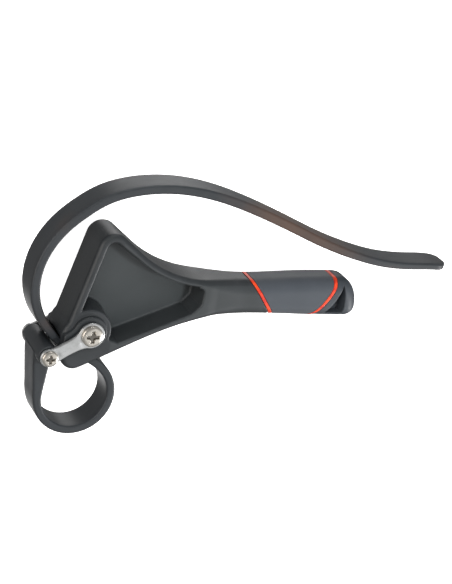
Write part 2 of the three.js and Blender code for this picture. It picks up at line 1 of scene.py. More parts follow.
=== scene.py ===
"""Looks of a rubber strap wrench: a moulded lever with a soft grip, two plated links, and a flat strap.

Shapes are worked out on the bench: millimetres, with the main pivot's axis as the Z axis, X along the handle
to the butt and Y towards the head's apex. One function puts them into the frame, in metres.
"""
import json
import logging
import math
from dataclasses import dataclass, field
from enum import Enum
from typing import Any, Callable, Sequence

import bpy
import numpy as np
from mathutils import Matrix, Vector


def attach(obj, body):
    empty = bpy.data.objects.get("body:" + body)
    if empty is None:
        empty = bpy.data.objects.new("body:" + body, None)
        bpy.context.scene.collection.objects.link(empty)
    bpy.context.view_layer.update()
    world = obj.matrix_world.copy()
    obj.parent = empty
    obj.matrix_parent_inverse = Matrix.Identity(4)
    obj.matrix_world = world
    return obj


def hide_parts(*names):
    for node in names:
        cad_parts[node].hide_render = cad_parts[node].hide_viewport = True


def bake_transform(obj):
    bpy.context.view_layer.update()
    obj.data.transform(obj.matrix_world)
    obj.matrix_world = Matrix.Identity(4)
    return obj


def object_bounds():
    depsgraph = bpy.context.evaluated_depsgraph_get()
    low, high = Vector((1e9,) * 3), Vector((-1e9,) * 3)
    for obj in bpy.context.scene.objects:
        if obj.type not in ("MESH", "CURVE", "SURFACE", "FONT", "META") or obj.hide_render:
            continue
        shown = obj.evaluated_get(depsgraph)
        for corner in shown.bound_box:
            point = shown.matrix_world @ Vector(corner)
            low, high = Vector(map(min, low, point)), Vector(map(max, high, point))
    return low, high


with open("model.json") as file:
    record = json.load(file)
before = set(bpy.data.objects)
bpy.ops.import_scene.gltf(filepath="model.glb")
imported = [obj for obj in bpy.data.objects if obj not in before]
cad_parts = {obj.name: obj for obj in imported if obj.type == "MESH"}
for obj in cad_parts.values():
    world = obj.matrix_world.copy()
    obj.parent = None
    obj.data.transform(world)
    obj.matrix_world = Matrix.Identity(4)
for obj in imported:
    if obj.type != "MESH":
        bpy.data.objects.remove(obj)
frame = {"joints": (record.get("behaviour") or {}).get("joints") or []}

CAD_BOX = [list(corner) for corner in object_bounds()]
LOG = logging.getLogger("strap_wrench")
MM = 0.001
JOINTS = {joint["name"]: joint for joint in frame["joints"]}
PIVOT = np.array(JOINTS["link_swing"]["pos_m"])
CROSS_PIN = (np.array(JOINTS["eye_swivel"]["pos_m"]) - PIVOT) / MM
PIN_REACH = float(np.hypot(*CROSS_PIN[:2]))
CHORD_GAP = 0.003       # the most that a chord lies off its arc
PLAN_STEP = 0.32        # between the grid points of a drawn line's distance
BLOCK = 3_000_000       # how many distances are worked out at once

Array = np.ndarray
Faces = list[Sequence[int]]
Triple = tuple[float, float, float]
Colour = Triple
Cut = Callable[[Array], Array]


class Body(str, Enum):
    """The bodies of the frame that pieces ride on."""

    HANDLE = "handle"
    LINKS = "links"
    STRAP_END = "strap_end"


class Slot(str, Enum):
    """The record's material slots."""

    PLASTIC = "hard_plastic"
    GRIP = "grip_rubber"
    STRAP = "strap_rubber"
    ACCENT = "accent_plastic"
    LINK = "link_steel"
    SCREW = "screw_steel"
    BUSH = "bush_bronze"


class Side(Enum):
    """The two sides of the lever, as the sign of Z on the bench."""

    FRONT = 1
    REAR = -1

    @property
    def word(self) -> str:
        """The side's name as the nodes spell it."""
        return self.name.lower()


# ---- Arithmetic on whole arrays -------------------------------------------------------------------


def ramp(value: Array, start: float, stop: float) -> Array:
    """A smooth step: 0 before start, 1 after stop, and 3t^2 - 2t^3 between them."""
    t = np.clip((value - start) / (stop - start), 0, 1)
    return t * t * (3 - 2 * t)


def round_cut(a: Array, b: Array, radius: Array | float) -> Array:
    """What two solids share, as a distance that is negative inside, with a round edge of that radius.

    Formula: the larger of the two distances away from the edge, and within a radius of both walls the
    distance from the quarter circle that touches both.
    """
    corner = np.hypot(np.maximum(radius + a, 0), np.maximum(radius + b, 0))
    return np.minimum(-radius, np.maximum(a, b)) + corner


def round_join(a: Array, b: Array, radius: Array | float) -> Array:
    """Two solids made one, with a round fillet of that radius in the corner between them."""
    return -round_cut(-a, -b, radius)


def polar(centre: Sequence[float], radius: float, degrees: Array | float) -> Array:
    """Points on a circle, as an array with x and y in its last axis."""
    turn = np.radians(degrees)
    return np.stack([centre[0] + radius * np.cos(turn), centre[1] + radius * np.sin(turn)], axis=-1)


def arc(centre: Sequence[float], radius: float, start: float, stop: float) -> Array:
    """Points along an arc, so close that each chord follows it.

    Args:
        centre: The arc's centre.
        radius: Its radius.
        start: Its first angle, in degrees.
        stop: Its last angle.

    Returns:
        The points, one row each.
    """
    step = math.sqrt(8 * radius * CHORD_GAP)
    count = max(4, math.ceil(abs(math.radians(stop - start)) * radius / step))
    return polar(centre, radius, np.linspace(start, stop, count))


def bezier(*points: Sequence[float], count: int = 60) -> Array:
    """Points on a Bezier curve: the sum of its control points, each times C(n, k) t^k (1 - t)^(n - k).

    Args:
        points: The control points.
        count: How many points are made.

    Returns:
        The points, one row each.
    """
    t = np.linspace(0, 1, count)[:, None]
    n = len(points) - 1
    return sum(math.comb(n, k) * t**k * (1 - t) ** (n - k) * np.array(p, float) for k, p in enumerate(points))


def lengths(line: Array) -> Array:
    """The length of a line of straight pieces up to each of its points."""
    return np.concatenate([[0], np.cumsum(np.linalg.norm(np.diff(line, axis=0), axis=1))])


def points_along(line: Array, at: Array) -> Array:
    """The points of a line of the plane at those lengths along it."""
    along = lengths(line)
    return np.stack([np.interp(at, along, line[:, axis]) for axis in range(2)], axis=-1)


def resampled(line: Array, count: int) -> Array:
    """The same line with its points spaced evenly along its length."""
    return points_along(line, np.linspace(0, lengths(line)[-1], count))


def relaxed(line: Array, reach: int) -> Array:
    """A line with its small kinks smoothed by a bell-shaped average. Its ends stay where they are.

    Args:
        line: The line's points.
        reach: How many points each way the average takes in.

    Returns:
        As many points as before.
    """
    bell = np.exp(-np.linspace(-2, 2, 2 * reach + 1) ** 2)
    bell /= bell.sum()
    before = 2 * line[0] - line[reach:0:-1]
    after = 2 * line[-1] - line[-2 : -reach - 2 : -1]
    padded = np.concatenate([before, line, after])
    return np.stack([np.convolve(padded[:, axis], bell, "valid") for axis in range(2)], axis=-1)


def spline(points: Array, count: int) -> Array:
    """An even, smooth line through points: a Catmull-Rom spline, spaced evenly and relaxed a little.

    Args:
        points: The points it runs through.
        count: How many points it gets.

    Returns:
        The line's points, one row each.
    """
    steps, fine, reach = 24, 4 * count, 3 * count // 20
    full = np.concatenate([[2 * points[0] - points[1]], points, [2 * points[-1] - points[-2]]])
    t = np.linspace(0, 1, steps, endpoint=False)[None, :, None]
    p0, p1, p2, p3 = (full[k : len(full) - 3 + k, None, :] for k in range(4))
    bend, twist = 2 * p0 - 5 * p1 + 4 * p2 - p3, 3 * p1 - p0 - 3 * p2 + p3
    cubic = 2 * p1 + (p2 - p0) * t + bend * t**2 + twist * t**3
    line = np.concatenate([(cubic / 2).reshape(-1, 2), points[-1:]])
    return resampled(relaxed(resampled(line, fine), reach), count)


def outline_distance(x: Array, y: Array, line: Array, closed: bool = True) -> Array:
    """Distance from points of the plane to a line of straight pieces, negative inside it where it is closed.

    Formula: the least distance to any piece of the line, with the sign from how often a ray from the
    point crosses the line.

    Args:
        x: Places along X, of any shape.
        y: Places along Y, which broadcast with x.
        line: The line's points, one row each.
        closed: Whether the last point joins the first.

    Returns:
        The distances, in the shape of x and y together.
    """
    x, y = np.broadcast_arrays(x, y)
    shape = x.shape
    points = np.stack([x.ravel(), y.ravel()], axis=-1)
    start = line if closed else line[:-1]
    stop = np.roll(line, -1, axis=0) if closed else line[1:]
    way = stop - start
    square = np.maximum((way**2).sum(1), 1e-12)
    found = []
    for block in np.array_split(points, max(1, len(points) * len(start) // BLOCK)):
        offset = block[:, None, :] - start[None]
        share = np.clip((offset * way).sum(2) / square, 0, 1)
        gap = np.sqrt(((offset - share[..., None] * way) ** 2).sum(2).min(1))
        if closed:
            above = start[None, :, 1] > block[:, None, 1]
            across = above != (stop[None, :, 1] > block[:, None, 1])
            rise = np.where(way[:, 1] == 0, 1, way[:, 1])
            left = block[:, None, 0] < start[None, :, 0] + way[:, 0] * offset[..., 1] / rise
            gap = np.where((across & left).sum(1) % 2 == 1, -gap, gap)
        found.append(gap)
    return np.concatenate(found).reshape(shape)


class Plan:
    """A drawn line's distance, worked out once on a fine grid and read back between the grid's points."""

    def __init__(self, line: Array, low: Sequence[float], high: Sequence[float], closed: bool = True) -> None:
        """Works the distance out at every grid point.

        Args:
            line: The line's points.
            low: The grid's lowest x and y.
            high: The grid's highest x and y.
            closed: Whether the line is an outline.
        """
        self.low = np.array(low, float)
        self.size = np.ceil((np.array(high) - self.low) / PLAN_STEP).astype(int) + 1
        xs, ys = (self.low[k] + PLAN_STEP * np.arange(self.size[k]) for k in range(2))
        self.values = outline_distance(xs[:, None], ys[None, :], line, closed)

    def __call__(self, x: Array, y: Array) -> Array:
        """The distance at places of the plane, each the weighted mean of the four grid points round it.

        Args:
            x: Places along X.
            y: Places along Y, which broadcast with x.

        Returns:
            The distances.
        """
        last_u, last_v = self.size - 1.001
        u = np.clip((x - self.low[0]) / PLAN_STEP, 0, last_u)
        v = np.clip((y - self.low[1]) / PLAN_STEP, 0, last_v)
        i, j = u.astype(int), v.astype(int)
        u, v = u - i, v - j
        near = self.values[i, j] * (1 - v) + self.values[i, j + 1] * v
        far = self.values[i + 1, j] * (1 - v) + self.values[i + 1, j + 1] * v
        return near * (1 - u) + far * u


# ---- Meshes ---------------------------------------------------------------------------------------


def in_frame(points: Array) -> Array:
    """Bench millimetres put into the frame, in metres."""
    return points * MM + PIVOT


@dataclass
class Skin:
    """A surface before it becomes an object: bench points, faces, and what its vertices and corners carry."""

    points: Array
    faces: Faces
    normals: Array | None = None
    marks: dict[str, Array] = field(default_factory=dict)
    uv: Array | None = None


def grid_faces(rows: int, columns: int, wrap_rows: bool) -> Array:
    """The four-sided faces of a grid of points, whose rows are closed.

    Args:
        rows: How many rows there are.
        columns: How many points a row has.
        wrap_rows: Whether the last row joins the first.

    Returns:
        The point numbers of each face.
    """
    i = np.arange(rows if wrap_rows else rows - 1)[:, None]
    j = np.arange(columns)[None, :]
    i2, j2 = (i + 1) % rows, (j + 1) % columns
    corners = [i * columns + j, i * columns + j2, i2 * columns + j2, i2 * columns + j]
    return np.stack([np.broadcast_to(c, (i.size, j.size)) for c in corners], axis=-1).reshape(-1, 4)


def volume(points: Array, faces: Array) -> float:
    """The volume inside four-sided faces, each split in two triangles: the sum of a . (b x c) / 6."""
    a, b, c, d = (points[faces[:, k]] for k in range(4))
    return float((a * (np.cross(b, c) + np.cross(c, d))).sum() / 6)


def loft(rings: Array, wrap: bool = False, mapped: bool = False) -> Skin:
    """A closed skin over rings of points, each ring closed, with a fan over the first and the last.

    Args:
        rings: Points with the shape (rings, points of a ring, 3).
        wrap: Joins the last ring to the first, as on a tube bent into a ring, and leaves the fans out.
        mapped: Gives the skin its flat map.

    Returns:
        The skin, whose faces point outwards.
    """
    rows, columns = rings.shape[:2]
    middle = rings.reshape(-1, 3).mean(0)
    if volume(rings.reshape(-1, 3) - middle, grid_faces(rows, columns, wrap)) < 0:
        rings = rings[:, ::-1]
    points = rings.reshape(-1, 3)
    faces = grid_faces(rows, columns, wrap).tolist()
    if not wrap:
        j = np.arange(columns)
        j2 = (j + 1) % columns
        last = (rows - 1) * columns
        points = np.concatenate([points, [rings[0].mean(0), rings[-1].mean(0)]])
        faces += np.stack([np.full(columns, len(points) - 2), j2, j], axis=-1).tolist()
        faces += np.stack([np.full(columns, len(points) - 1), last + j, last + j2], axis=-1).tolist()
    return Skin(points, faces, uv=flat_map(rings, len(faces)) if mapped else None)


def flat_map(rings: Array, faces: int) -> Array:
    """A loft's flat map in metres: round the widest ring, and along the middles of the rings.

    Args:
        rings: The loft's rings.
        faces: How many faces the loft has: the grid's, then the two fans'.

    Returns:
        One pair of numbers for each corner of each face.
    """
    rows, columns = rings.shape[:2]
    widest = rings[np.argmax(np.ptp(rings, axis=1).sum(1))]
    around = lengths(np.concatenate([widest, widest[:1]]))
    along = lengths(rings.mean(1))
    i, j = (part.ravel() for part in np.mgrid[0 : rows - 1, 0:columns])
    u = np.stack([around[j], around[j + 1], around[j + 1], around[j]], axis=-1)
    v = np.stack([along[i], along[i], along[i + 1], along[i + 1]], axis=-1)
    grid = np.stack([u, v], axis=-1).reshape(-1, 2)
    fans = np.zeros((3 * (faces - len(i)), 2))
    fans[len(fans) // 2 :, 1] = along[-1]
    return np.concatenate([grid, fans]) * MM


def box_ring(half_a: Array, half_b: Array, corner: Array, corner_steps: int, flat_steps: int) -> Array:
    """Rectangles with round corners, one for each entry of the sizes, running against the clock.

    Formula: each corner's centre lies one corner radius inside both sides, and its points are that
    centre plus the radius times (cos, sin). The straight runs between the corners are cut evenly.

    Args:
        half_a: Half the size along the first axis.
        half_b: Half the size along the second axis.
        corner: The corner radius.
        corner_steps: Steps round each corner.
        flat_steps: Steps along each straight run.

    Returns:
        Points with the shape (sizes, points, 2).
    """
    half_a, half_b, corner = (np.asarray(v, float)[:, None] for v in (half_a, half_b, corner))
    runs = []
    for k, (sign_a, sign_b) in enumerate([(1, 1), (-1, 1), (-1, -1), (1, -1)]):
        turn = np.radians(90 * k + np.linspace(0, 90, corner_steps + 1))[None, :]
        a = sign_a * (half_a - corner) + corner * np.cos(turn)
        b = sign_b * (half_b - corner) + corner * np.sin(turn)
        runs.append(np.stack([a, b], axis=-1))
    share = (np.arange(1, flat_steps) / flat_steps)[None, :, None]
    whole = []
    for k, run in enumerate(runs):
        whole.append(run)
        whole.append(run[:, -1:] * (1 - share) + runs[(k + 1) % 4][:, :1] * share)
    return np.concatenate(whole, axis=1)


def turned(profile: Array, centre: Sequence[float], side: Side = Side.FRONT, sides: int = 72) -> Skin:
    """A turned piece with its axis along Z: a closed profile of (radius, height) carried round the axis.

    Args:
        profile: The profile's points.
        centre: The axis, as x and y on the bench.
        side: The side of the lever it lies on. The rear one is the front one's mirror image.
        sides: Steps round the axis.

    Returns:
        The skin, closed like a ring.
    """
    turn = np.linspace(0, 2 * np.pi, sides, endpoint=False)[:, None]
    x = centre[0] + profile[:, 0] * np.cos(turn)
    y = centre[1] + profile[:, 0] * np.sin(turn)
    z = np.broadcast_to(profile[:, 1] * side.value, x.shape)
    return loft(np.stack([x, y, z], axis=-1), wrap=True)


def ring_profile(outer: float, inner: float, low: float, high: float, chamfer: float) -> Array:
    """The section of a bored piece with round edges.

    Args:
        outer: The piece's radius.
        inner: The bore's radius.
        low: The lower end's height.
        high: The upper end's height.
        chamfer: The radius of the edges.

    Returns:
        The section's points, as (radius, height).
    """
    middle = np.array([(outer + inner) / 2, (low + high) / 2])
    sizes = ([(outer - inner) / 2], [(high - low) / 2], [chamfer])
    return box_ring(*sizes, corner_steps=4, flat_steps=4)[0] + middle


@dataclass
class Lattice:
    """The places where a solid's distance is sampled, along each axis."""

    xs: Array
    ys: Array
    zs: Array

    @property
    def columns(self) -> tuple[Array, Array, Array]:
        """The three axes shaped to broadcast into the lattice."""
        return self.xs[:, None, None], self.ys[None, :, None], self.zs[None, None, :]


def graded(*runs: tuple[float, float, float]) -> Array:
    """Places along an axis, from runs of (start, stop, step) that follow on each other."""
    parts = [np.linspace(a, b, max(2, round((b - a) / step) + 1))[:-1] for a, b, step in runs]
    return np.concatenate([*parts, [runs[-1][1]]])


def level_skin(solid: Callable[[Array, Array, Array], Array], lattice: Lattice) -> Skin:
    """The surface of a solid that is given by its distance, negative inside.

    Formula: each cell of the lattice that the surface passes through holds one vertex, first at the mean
    of the points where the surface crosses the cell's edges. Each crossed edge joins the vertices of its
    four cells by a face. The vertices then slide along the distance's gradient onto the surface.

    Args:
        solid: The distance, as a function of x, y and z arrays that broadcast together.
        lattice: Where the distance is sampled. It reaches past the solid on every side.

    Returns:
        The skin with its normals, which point along the gradient.
    """
    axes = (lattice.xs, lattice.ys, lattice.zs)
    value = np.array(np.broadcast_to(solid(*lattice.columns), [axis.size for axis in axes]))
    inside = value < 0
    cells = tuple(n - 1 for n in value.shape)
    total = np.zeros((*cells, 3))
    count = np.zeros(cells)
    crossings = []
    for axis in range(3):
        low = [slice(None)] * 3
        high = [slice(None)] * 3
        low[axis], high[axis] = slice(None, -1), slice(1, None)
        low, high = tuple(low), tuple(high)
        crossed = inside[low] != inside[high]
        crossings.append((crossed, inside[low]))
        gap = np.where(crossed, value[low] - value[high], 1)
        share = np.where(crossed, value[low] / gap, 0)
        place = np.meshgrid(*[a[:-1] if k == axis else a for k, a in enumerate(axes)], indexing="ij")
        shape = [1, 1, 1]
        shape[axis] = -1
        place[axis] = place[axis] + share * np.diff(axes[axis]).reshape(shape)
        point = np.stack(place, axis=-1) * crossed[..., None]
        others = [k for k in range(3) if k != axis]
        for first in (0, 1):
            for second in (0, 1):
                part = [slice(None)] * 3
                part[others[0]] = slice(first, first + cells[others[0]])
                part[others[1]] = slice(second, second + cells[others[1]])
                total += point[tuple(part)]
                count += crossed[tuple(part)]
    held = count > 0
    number = np.full(cells, -1)
    number[held] = np.arange(held.sum())
    points = total[held] / count[held][:, None]
    faces = []
    for axis, (crossed, starts_inside) in enumerate(crossings):
        b, c = (axis + 1) % 3, (axis + 2) % 3
        at = np.argwhere(crossed)
        for way in (b, c):
            at = at[(at[:, way] > 0) & (at[:, way] < value.shape[way] - 1)]
        back_b, back_c = np.eye(3, dtype=int)[b], np.eye(3, dtype=int)[c]
        ring = [at - back_b - back_c, at - back_c, at, at - back_b]
        quad = np.stack([number[tuple(r.T)] for r in ring], axis=-1)
        outward = starts_inside[tuple(at.T)]
        faces.append(np.where(outward[:, None], quad, quad[:, ::-1]))
    slides, reach, least_slope, longest = 3, 0.12, 0.3, 0.4
    for _ in range(slides):
        here = solid(*points.T)
        slope = [solid(*(points + reach * way).T) - solid(*(points - reach * way).T) for way in np.eye(3)]
        normals = np.stack(slope, axis=-1) / (2 * reach)
        size = np.maximum(np.linalg.norm(normals, axis=1, keepdims=True), least_slope)
        move = np.clip(here[:, None] / size, -longest, longest)
        normals /= size
        points = points - move * normals
    return Skin(points, np.concatenate(faces).tolist(), normals=normals)


# ---- Finishes -------------------------------------------------------------------------------------


class Wire:
    """A node's output that takes part in arithmetic: + - * / and ** on wires and numbers add Math nodes."""

    def __init__(self, paint: "Paint", socket: bpy.types.NodeSocket) -> None:
        """Wraps a socket of that paint's material."""
        self.paint = paint
        self.socket = socket

    def _math(self, operation: str, first: Any, second: Any) -> "Wire":
        """A Math node on two wires or numbers."""
        return self.paint.node("ShaderNodeMath", {"operation": operation}, {0: first, 1: second})

    def __add__(self, other: Any) -> "Wire":
        """self + other."""
        return self._math("ADD", self, other)

    def __radd__(self, other: Any) -> "Wire":
        """other + self."""
        return self._math("ADD", other, self)

    def __sub__(self, other: Any) -> "Wire":
        """self - other."""
        return self._math("SUBTRACT", self, other)

    def __rsub__(self, other: Any) -> "Wire":
        """other - self."""
        return self._math("SUBTRACT", other, self)

    def __mul__(self, other: Any) -> "Wire":
        """self * other."""
        return self._math("MULTIPLY", self, other)

    def __rmul__(self, other: Any) -> "Wire":
        """other * self."""
        return self._math("MULTIPLY", other, self)

    def __truediv__(self, other: Any) -> "Wire":
        """self / other."""
        return self._math("DIVIDE", self, other)

    def __pow__(self, other: Any) -> "Wire":
        """self to the power of other."""
        return self._math("POWER", self, other)

    def __abs__(self) -> "Wire":
        """The size of self without its sign."""
        return self._math("ABSOLUTE", self, 0.0)

    def between(self, low: float, high: float) -> "Wire":
        """0 where self is below low, 1 above high, and a smooth step between them."""
        sockets = {"Value": self, "From Min": low, "From Max": high}
        return self.paint.node("ShaderNodeMapRange", {"interpolation_type": "SMOOTHSTEP"}, sockets)


class Paint:
    """One material under way: its nodes, with a Principled shader at the end."""

    def __init__(self, name: str) -> None:
        """Starts a material of that name with nothing but its shader."""
        self.material = bpy.data.materials.new(name)
        self.material.use_nodes = True
        self.tree = self.material.node_tree
        self.tree.nodes.clear()
        output = self.tree.nodes.new("ShaderNodeOutputMaterial")
        self.shader = self.tree.nodes.new("ShaderNodeBsdfPrincipled")
        self.tree.links.new(self.shader.outputs[0], output.inputs["Surface"])

    def _feed(self, socket: bpy.types.NodeSocket, value: Any) -> None:
        """Links a wire to a socket, or sets a number or colour on it."""
        if isinstance(value, Wire):
            self.tree.links.new(value.socket, socket)
        elif isinstance(value, (tuple, list)) and socket.type == "RGBA" and len(value) == 3:
            socket.default_value = (*value, 1.0)
        else:
            socket.default_value = value

    def node(
        self, kind: str, settings: dict[str, Any] | None = None, sockets: dict | None = None, out: int | str = 0
    ) -> Wire:
        """Adds any node.

        Args:
            kind: The node's type.
            settings: Its properties, which are set first.
            sockets: Values or wires for its inputs, by name or number.
            out: The name or number of the output that is wanted.

        Returns:
            That output.
        """
        made = self.tree.nodes.new(kind)
        for name, value in (settings or {}).items():
            setattr(made, name, value)
        for name, value in (sockets or {}).items():
            self._feed(made.inputs[name], value)
        return Wire(self, made.outputs[out])

    def place(self) -> Wire:
        """Where the point is, in the frame, in metres."""
        return self.node("ShaderNodeTexCoord", out="Object")

    def mark(self, name: str) -> Wire:
        """A number that the piece's own mesh holds at each vertex, or 0 on a piece without it."""
        return self.node("ShaderNodeAttribute", {"attribute_name": name}, out="Fac")

    def stretched(self, at: Wire, scale: Sequence[float], turn: Sequence[float] = (0, 0, 0)) -> Wire:
        """A place turned and stretched before a pattern reads it."""
        return self.node("ShaderNodeMapping", {}, {"Vector": at, "Scale": scale, "Rotation": turn})

    def noise(self, at: Wire, scale: float, detail: float = 2.0, roughness: float = 0.5) -> Wire:
        """Soft noise around 0.5, with that many cells to the metre."""
        sockets = {"Vector": at, "Scale": scale, "Detail": detail, "Roughness": roughness}
        return self.node("ShaderNodeTexNoise", {}, sockets)

    def pebbles(self, at: Wire, scale: float) -> Wire:
        """Distance from the middle of rounded cells, with that many to the metre."""
        sockets = {"Vector": at, "Scale": scale}
        return self.node("ShaderNodeTexVoronoi", {"feature": "SMOOTH_F1"}, sockets, "Distance")

    def mixed(self, share: Wire, first: Any, second: Any) -> Wire:
        """A colour between two colours."""
        sockets = {0: share, 6: first, 7: second}
        return self.node("ShaderNodeMix", {"data_type": "RGBA"}, sockets, 2)

    def bumped(self, height: Wire, distance: float, strength: float = 1.0) -> Wire:
        """A normal pushed about by a height from 0 to 1 that stands for that distance in metres."""
        return self.node("ShaderNodeBump", {}, {"Height": height, "Distance": distance, "Strength": strength})

    def shade(self, **sockets: Any) -> None:
        """Feeds the Principled shader's sockets, with _ for the spaces in their names."""
        for name, value in sockets.items():
            self._feed(self.shader.inputs[name.replace("_", " ")], value)


@dataclass(frozen=True)
class Finish:
    """What every finish has: a name and the record's slot that it belongs to."""

    name: str
    slot: Slot

    def coat(self, paint: Paint) -> None:
        """Adds the finish's nodes. Each finish has its own."""
        raise NotImplementedError

    def material(self) -> bpy.types.Material:
        """The finish's material, made the first time that it is asked for."""
        found = bpy.data.materials.get(self.name)
        if found is None:
            paint = Paint(self.name)
            self.coat(paint)
            found = paint.material
        return found


@dataclass(frozen=True)
class MouldedPlastic(Finish):
    """Nylon from a mould finished by spark erosion: dark, satin, with a fine grain, scuffs and a parting line.

    The mesh's marks say where it is rougher and carries painted fill light, a lighter grey, as in the recesses,
    and where the rim that holds the line is.
    """

    deep: Colour
    pale: Colour
    roughness: float
    # The lighter grey that the mark mixes in: partly the recesses' rougher mould finish, partly painted fill
    # light for faces that the walls shade.
    eroded_and_painted_fill: Colour = (0.044, 0.050, 0.052)
    grain: float = 3200.0
    grain_height: float = 0.000028
    parted: bool = False

    def coat(self, paint: Paint) -> None:
        """Grain in the bump and gloss, cloudy colour, and a groove where the mould's halves met."""
        at = paint.place()
        cloud = paint.noise(at, 55.0, 3.0)
        scuffs = paint.noise(paint.stretched(at, (1, 5, 1), (0, 0, 0.4)), 260.0, 4.0, 0.6).between(0.6, 0.78)
        grain = paint.noise(at, self.grain, 2.0, 0.6)
        matt = paint.mark("matt")
        colour = paint.mixed(cloud.between(0.3, 0.75), self.deep, self.pale)
        # Painted fill light: where the mark says, the colour turns to the lighter grey, standing in for light
        # that the recess walls and inner faces miss. The same mark makes them rougher.
        colour = paint.mixed(matt * (0.7 + cloud * 0.3), colour, self.eroded_and_painted_fill)
        height = grain * 0.8 + paint.noise(at, 420.0, 2.0) * 0.5
        if self.parted:
            level = paint.node("ShaderNodeSeparateXYZ", {}, {0: at}, "Z")
            line = (1 - abs(level - float(PIVOT[2])).between(0.00006, 0.00022)) * paint.mark("rim")
            height = height - line * 1.6
            colour = paint.mixed(line * 0.35, colour, tuple(0.4 * c for c in self.deep))
        gloss = self.roughness + (cloud - 0.5) * 0.16 + scuffs * 0.1 + (grain - 0.5) * 0.12 + matt * 0.1
        paint.shade(
            Base_Color=colour,
            Roughness=gloss,
            Normal=paint.bumped(height, self.grain_height, 0.8),
            Specular_IOR_Level=0.5,
        )


@dataclass(frozen=True)
class SoftGrip(Finish):
    """The soft rubber of the grip: dull-surfaced, with a fine pebbled skin and faint handling marks."""

    deep: Colour
    pale: Colour
    roughness: float

    def coat(self, paint: Paint) -> None:
        """Pebbles in the bump and slow clouds in colour and gloss."""
        at = paint.place()
        cloud = paint.noise(at, 38.0, 3.0)
        pebbles = paint.pebbles(at, 2300.0)
        grain = paint.noise(at, 5200.0, 2.0)
        worn = paint.noise(paint.stretched(at, (0.35, 1, 1)), 120.0, 4.0, 0.55).between(0.45, 0.8)
        paint.shade(
            Base_Color=paint.mixed(cloud.between(0.25, 0.8), self.deep, self.pale),
            Roughness=self.roughness + (cloud - 0.5) * 0.12 - worn * 0.06 + (grain - 0.5) * 0.08,
            Normal=paint.bumped(pebbles * 0.7 + grain * 0.5, 0.00003, 0.7),
            Specular_IOR_Level=0.45,
            Sheen_Weight=0.12,
            Sheen_Roughness=0.5,
        )


@dataclass(frozen=True)
class StrapRubber(Finish):
    """Moulded strap rubber: charcoal, satin, with faint marks along the strap and a brown bloom.

    The mesh's mark says where the bloom gathers.
    """

    deep: Colour
    pale: Colour
    bloom: Colour
    roughness: float

    def coat(self, paint: Paint) -> None:
        """Streaks that follow the strap's flat map, slow clouds and bloom, and a fine skin."""
        at = paint.place()
        flat = paint.node("ShaderNodeUVMap", {"uv_map": "flat"})
        streaks = paint.noise(paint.stretched(flat, (1, 0.045, 1)), 1500.0, 3.0, 0.6)
        cloud = paint.noise(at, 34.0, 3.0)
        bloom = paint.noise(at, 21.0, 2.0).between(0.52, 0.72) * 0.5
        bloom = bloom + paint.mark("bloom") * (0.55 + cloud * 0.7)
        skin = paint.noise(at, 2600.0, 2.0, 0.6)
        tone = cloud.between(0.3, 0.75) * 0.7 + streaks.between(0.35, 0.75) * 0.3
        colour = paint.mixed(tone, self.deep, self.pale)
        paint.shade(
            Base_Color=paint.mixed(bloom.between(0.0, 1.4), colour, self.bloom),
            Roughness=self.roughness + (streaks - 0.5) * 0.22 + (cloud - 0.5) * 0.14 + (skin - 0.5) * 0.08,
            Normal=paint.bumped(skin * 0.6 + streaks * 0.5, 0.00003, 0.7),
            Specular_IOR_Level=0.5,
        )


@dataclass(frozen=True)
class GlossPlastic(Finish):
    """The coloured accent rings: satin plastic under a thin gloss, with a slight ripple."""

    bright: Colour
    shaded: Colour
    roughness: float

    def coat(self, paint: Paint) -> None:
        """A ripple in the bump, and painted shade: slow noise mixes the colour between a lit and a shaded red.
        """
        at = paint.place()
        cloud = paint.noise(at, 160.0, 2.0)
        fine = paint.noise(at, 2400.0, 2.0)
        paint.shade(
            # Painted shade: patches of the darker, shaded red stand for the ring's shaded parts.
            Base_Color=paint.mixed(cloud.between(0.4, 0.75), self.bright, self.shaded),
            Roughness=self.roughness + (cloud - 0.5) * 0.16 + (fine - 0.5) * 0.1,
            Normal=paint.bumped(fine * 0.4 + cloud * 0.6, 0.00002, 0.6),
            Coat_Weight=0.12,
            Coat_Roughness=0.25,
        )


@dataclass(frozen=True)
class PlatedMetal(Finish):
    """Plated steel or turned bronze: bright, with a fine brushed grain, hazy patches and hairlines.

    The mesh's mark says where painted shade darkens the colour, as in a screw's cross recess.
    """

    light: Colour
    dark: Colour
    roughness: float
    brushed_turn: float = 0.0
    brushed: float = 1.0

    def coat(self, paint: Paint) -> None:
        """Brushing drawn out along one way, haze in the gloss, and rare hairlines."""
        at = paint.place()
        drawn = paint.stretched(paint.stretched(at, (1, 1, 1), (0, 0, self.brushed_turn)), (0.05, 1, 1))
        brushing = paint.noise(drawn, 5200.0, 3.0, 0.6)
        haze = paint.noise(at, 210.0, 3.0, 0.6)
        hairlines = paint.noise(paint.stretched(at, (0.03, 1, 1), (0, 0, 1.1)), 3800.0, 1.0).between(0.72, 0.8)
        # Painted shade: the mark darkens the colour towards a dark copy, in the screws' cross recesses where
        # shade falls.
        tarnish = paint.mark("tarnish")
        clean = paint.mixed(haze.between(0.35, 0.8), self.light, self.dark)
        gloss = self.roughness + (brushing - 0.5) * 0.14 * self.brushed + (haze - 0.5) * 0.16 + hairlines * 0.1
        paint.shade(
            Base_Color=paint.mixed(tarnish * 0.72, clean, tuple(0.12 * c for c in self.dark)),
            Metallic=1.0,
            Roughness=gloss,
            Normal=paint.bumped(brushing * self.brushed + hairlines * 0.4, 0.000006, 0.7),
        )


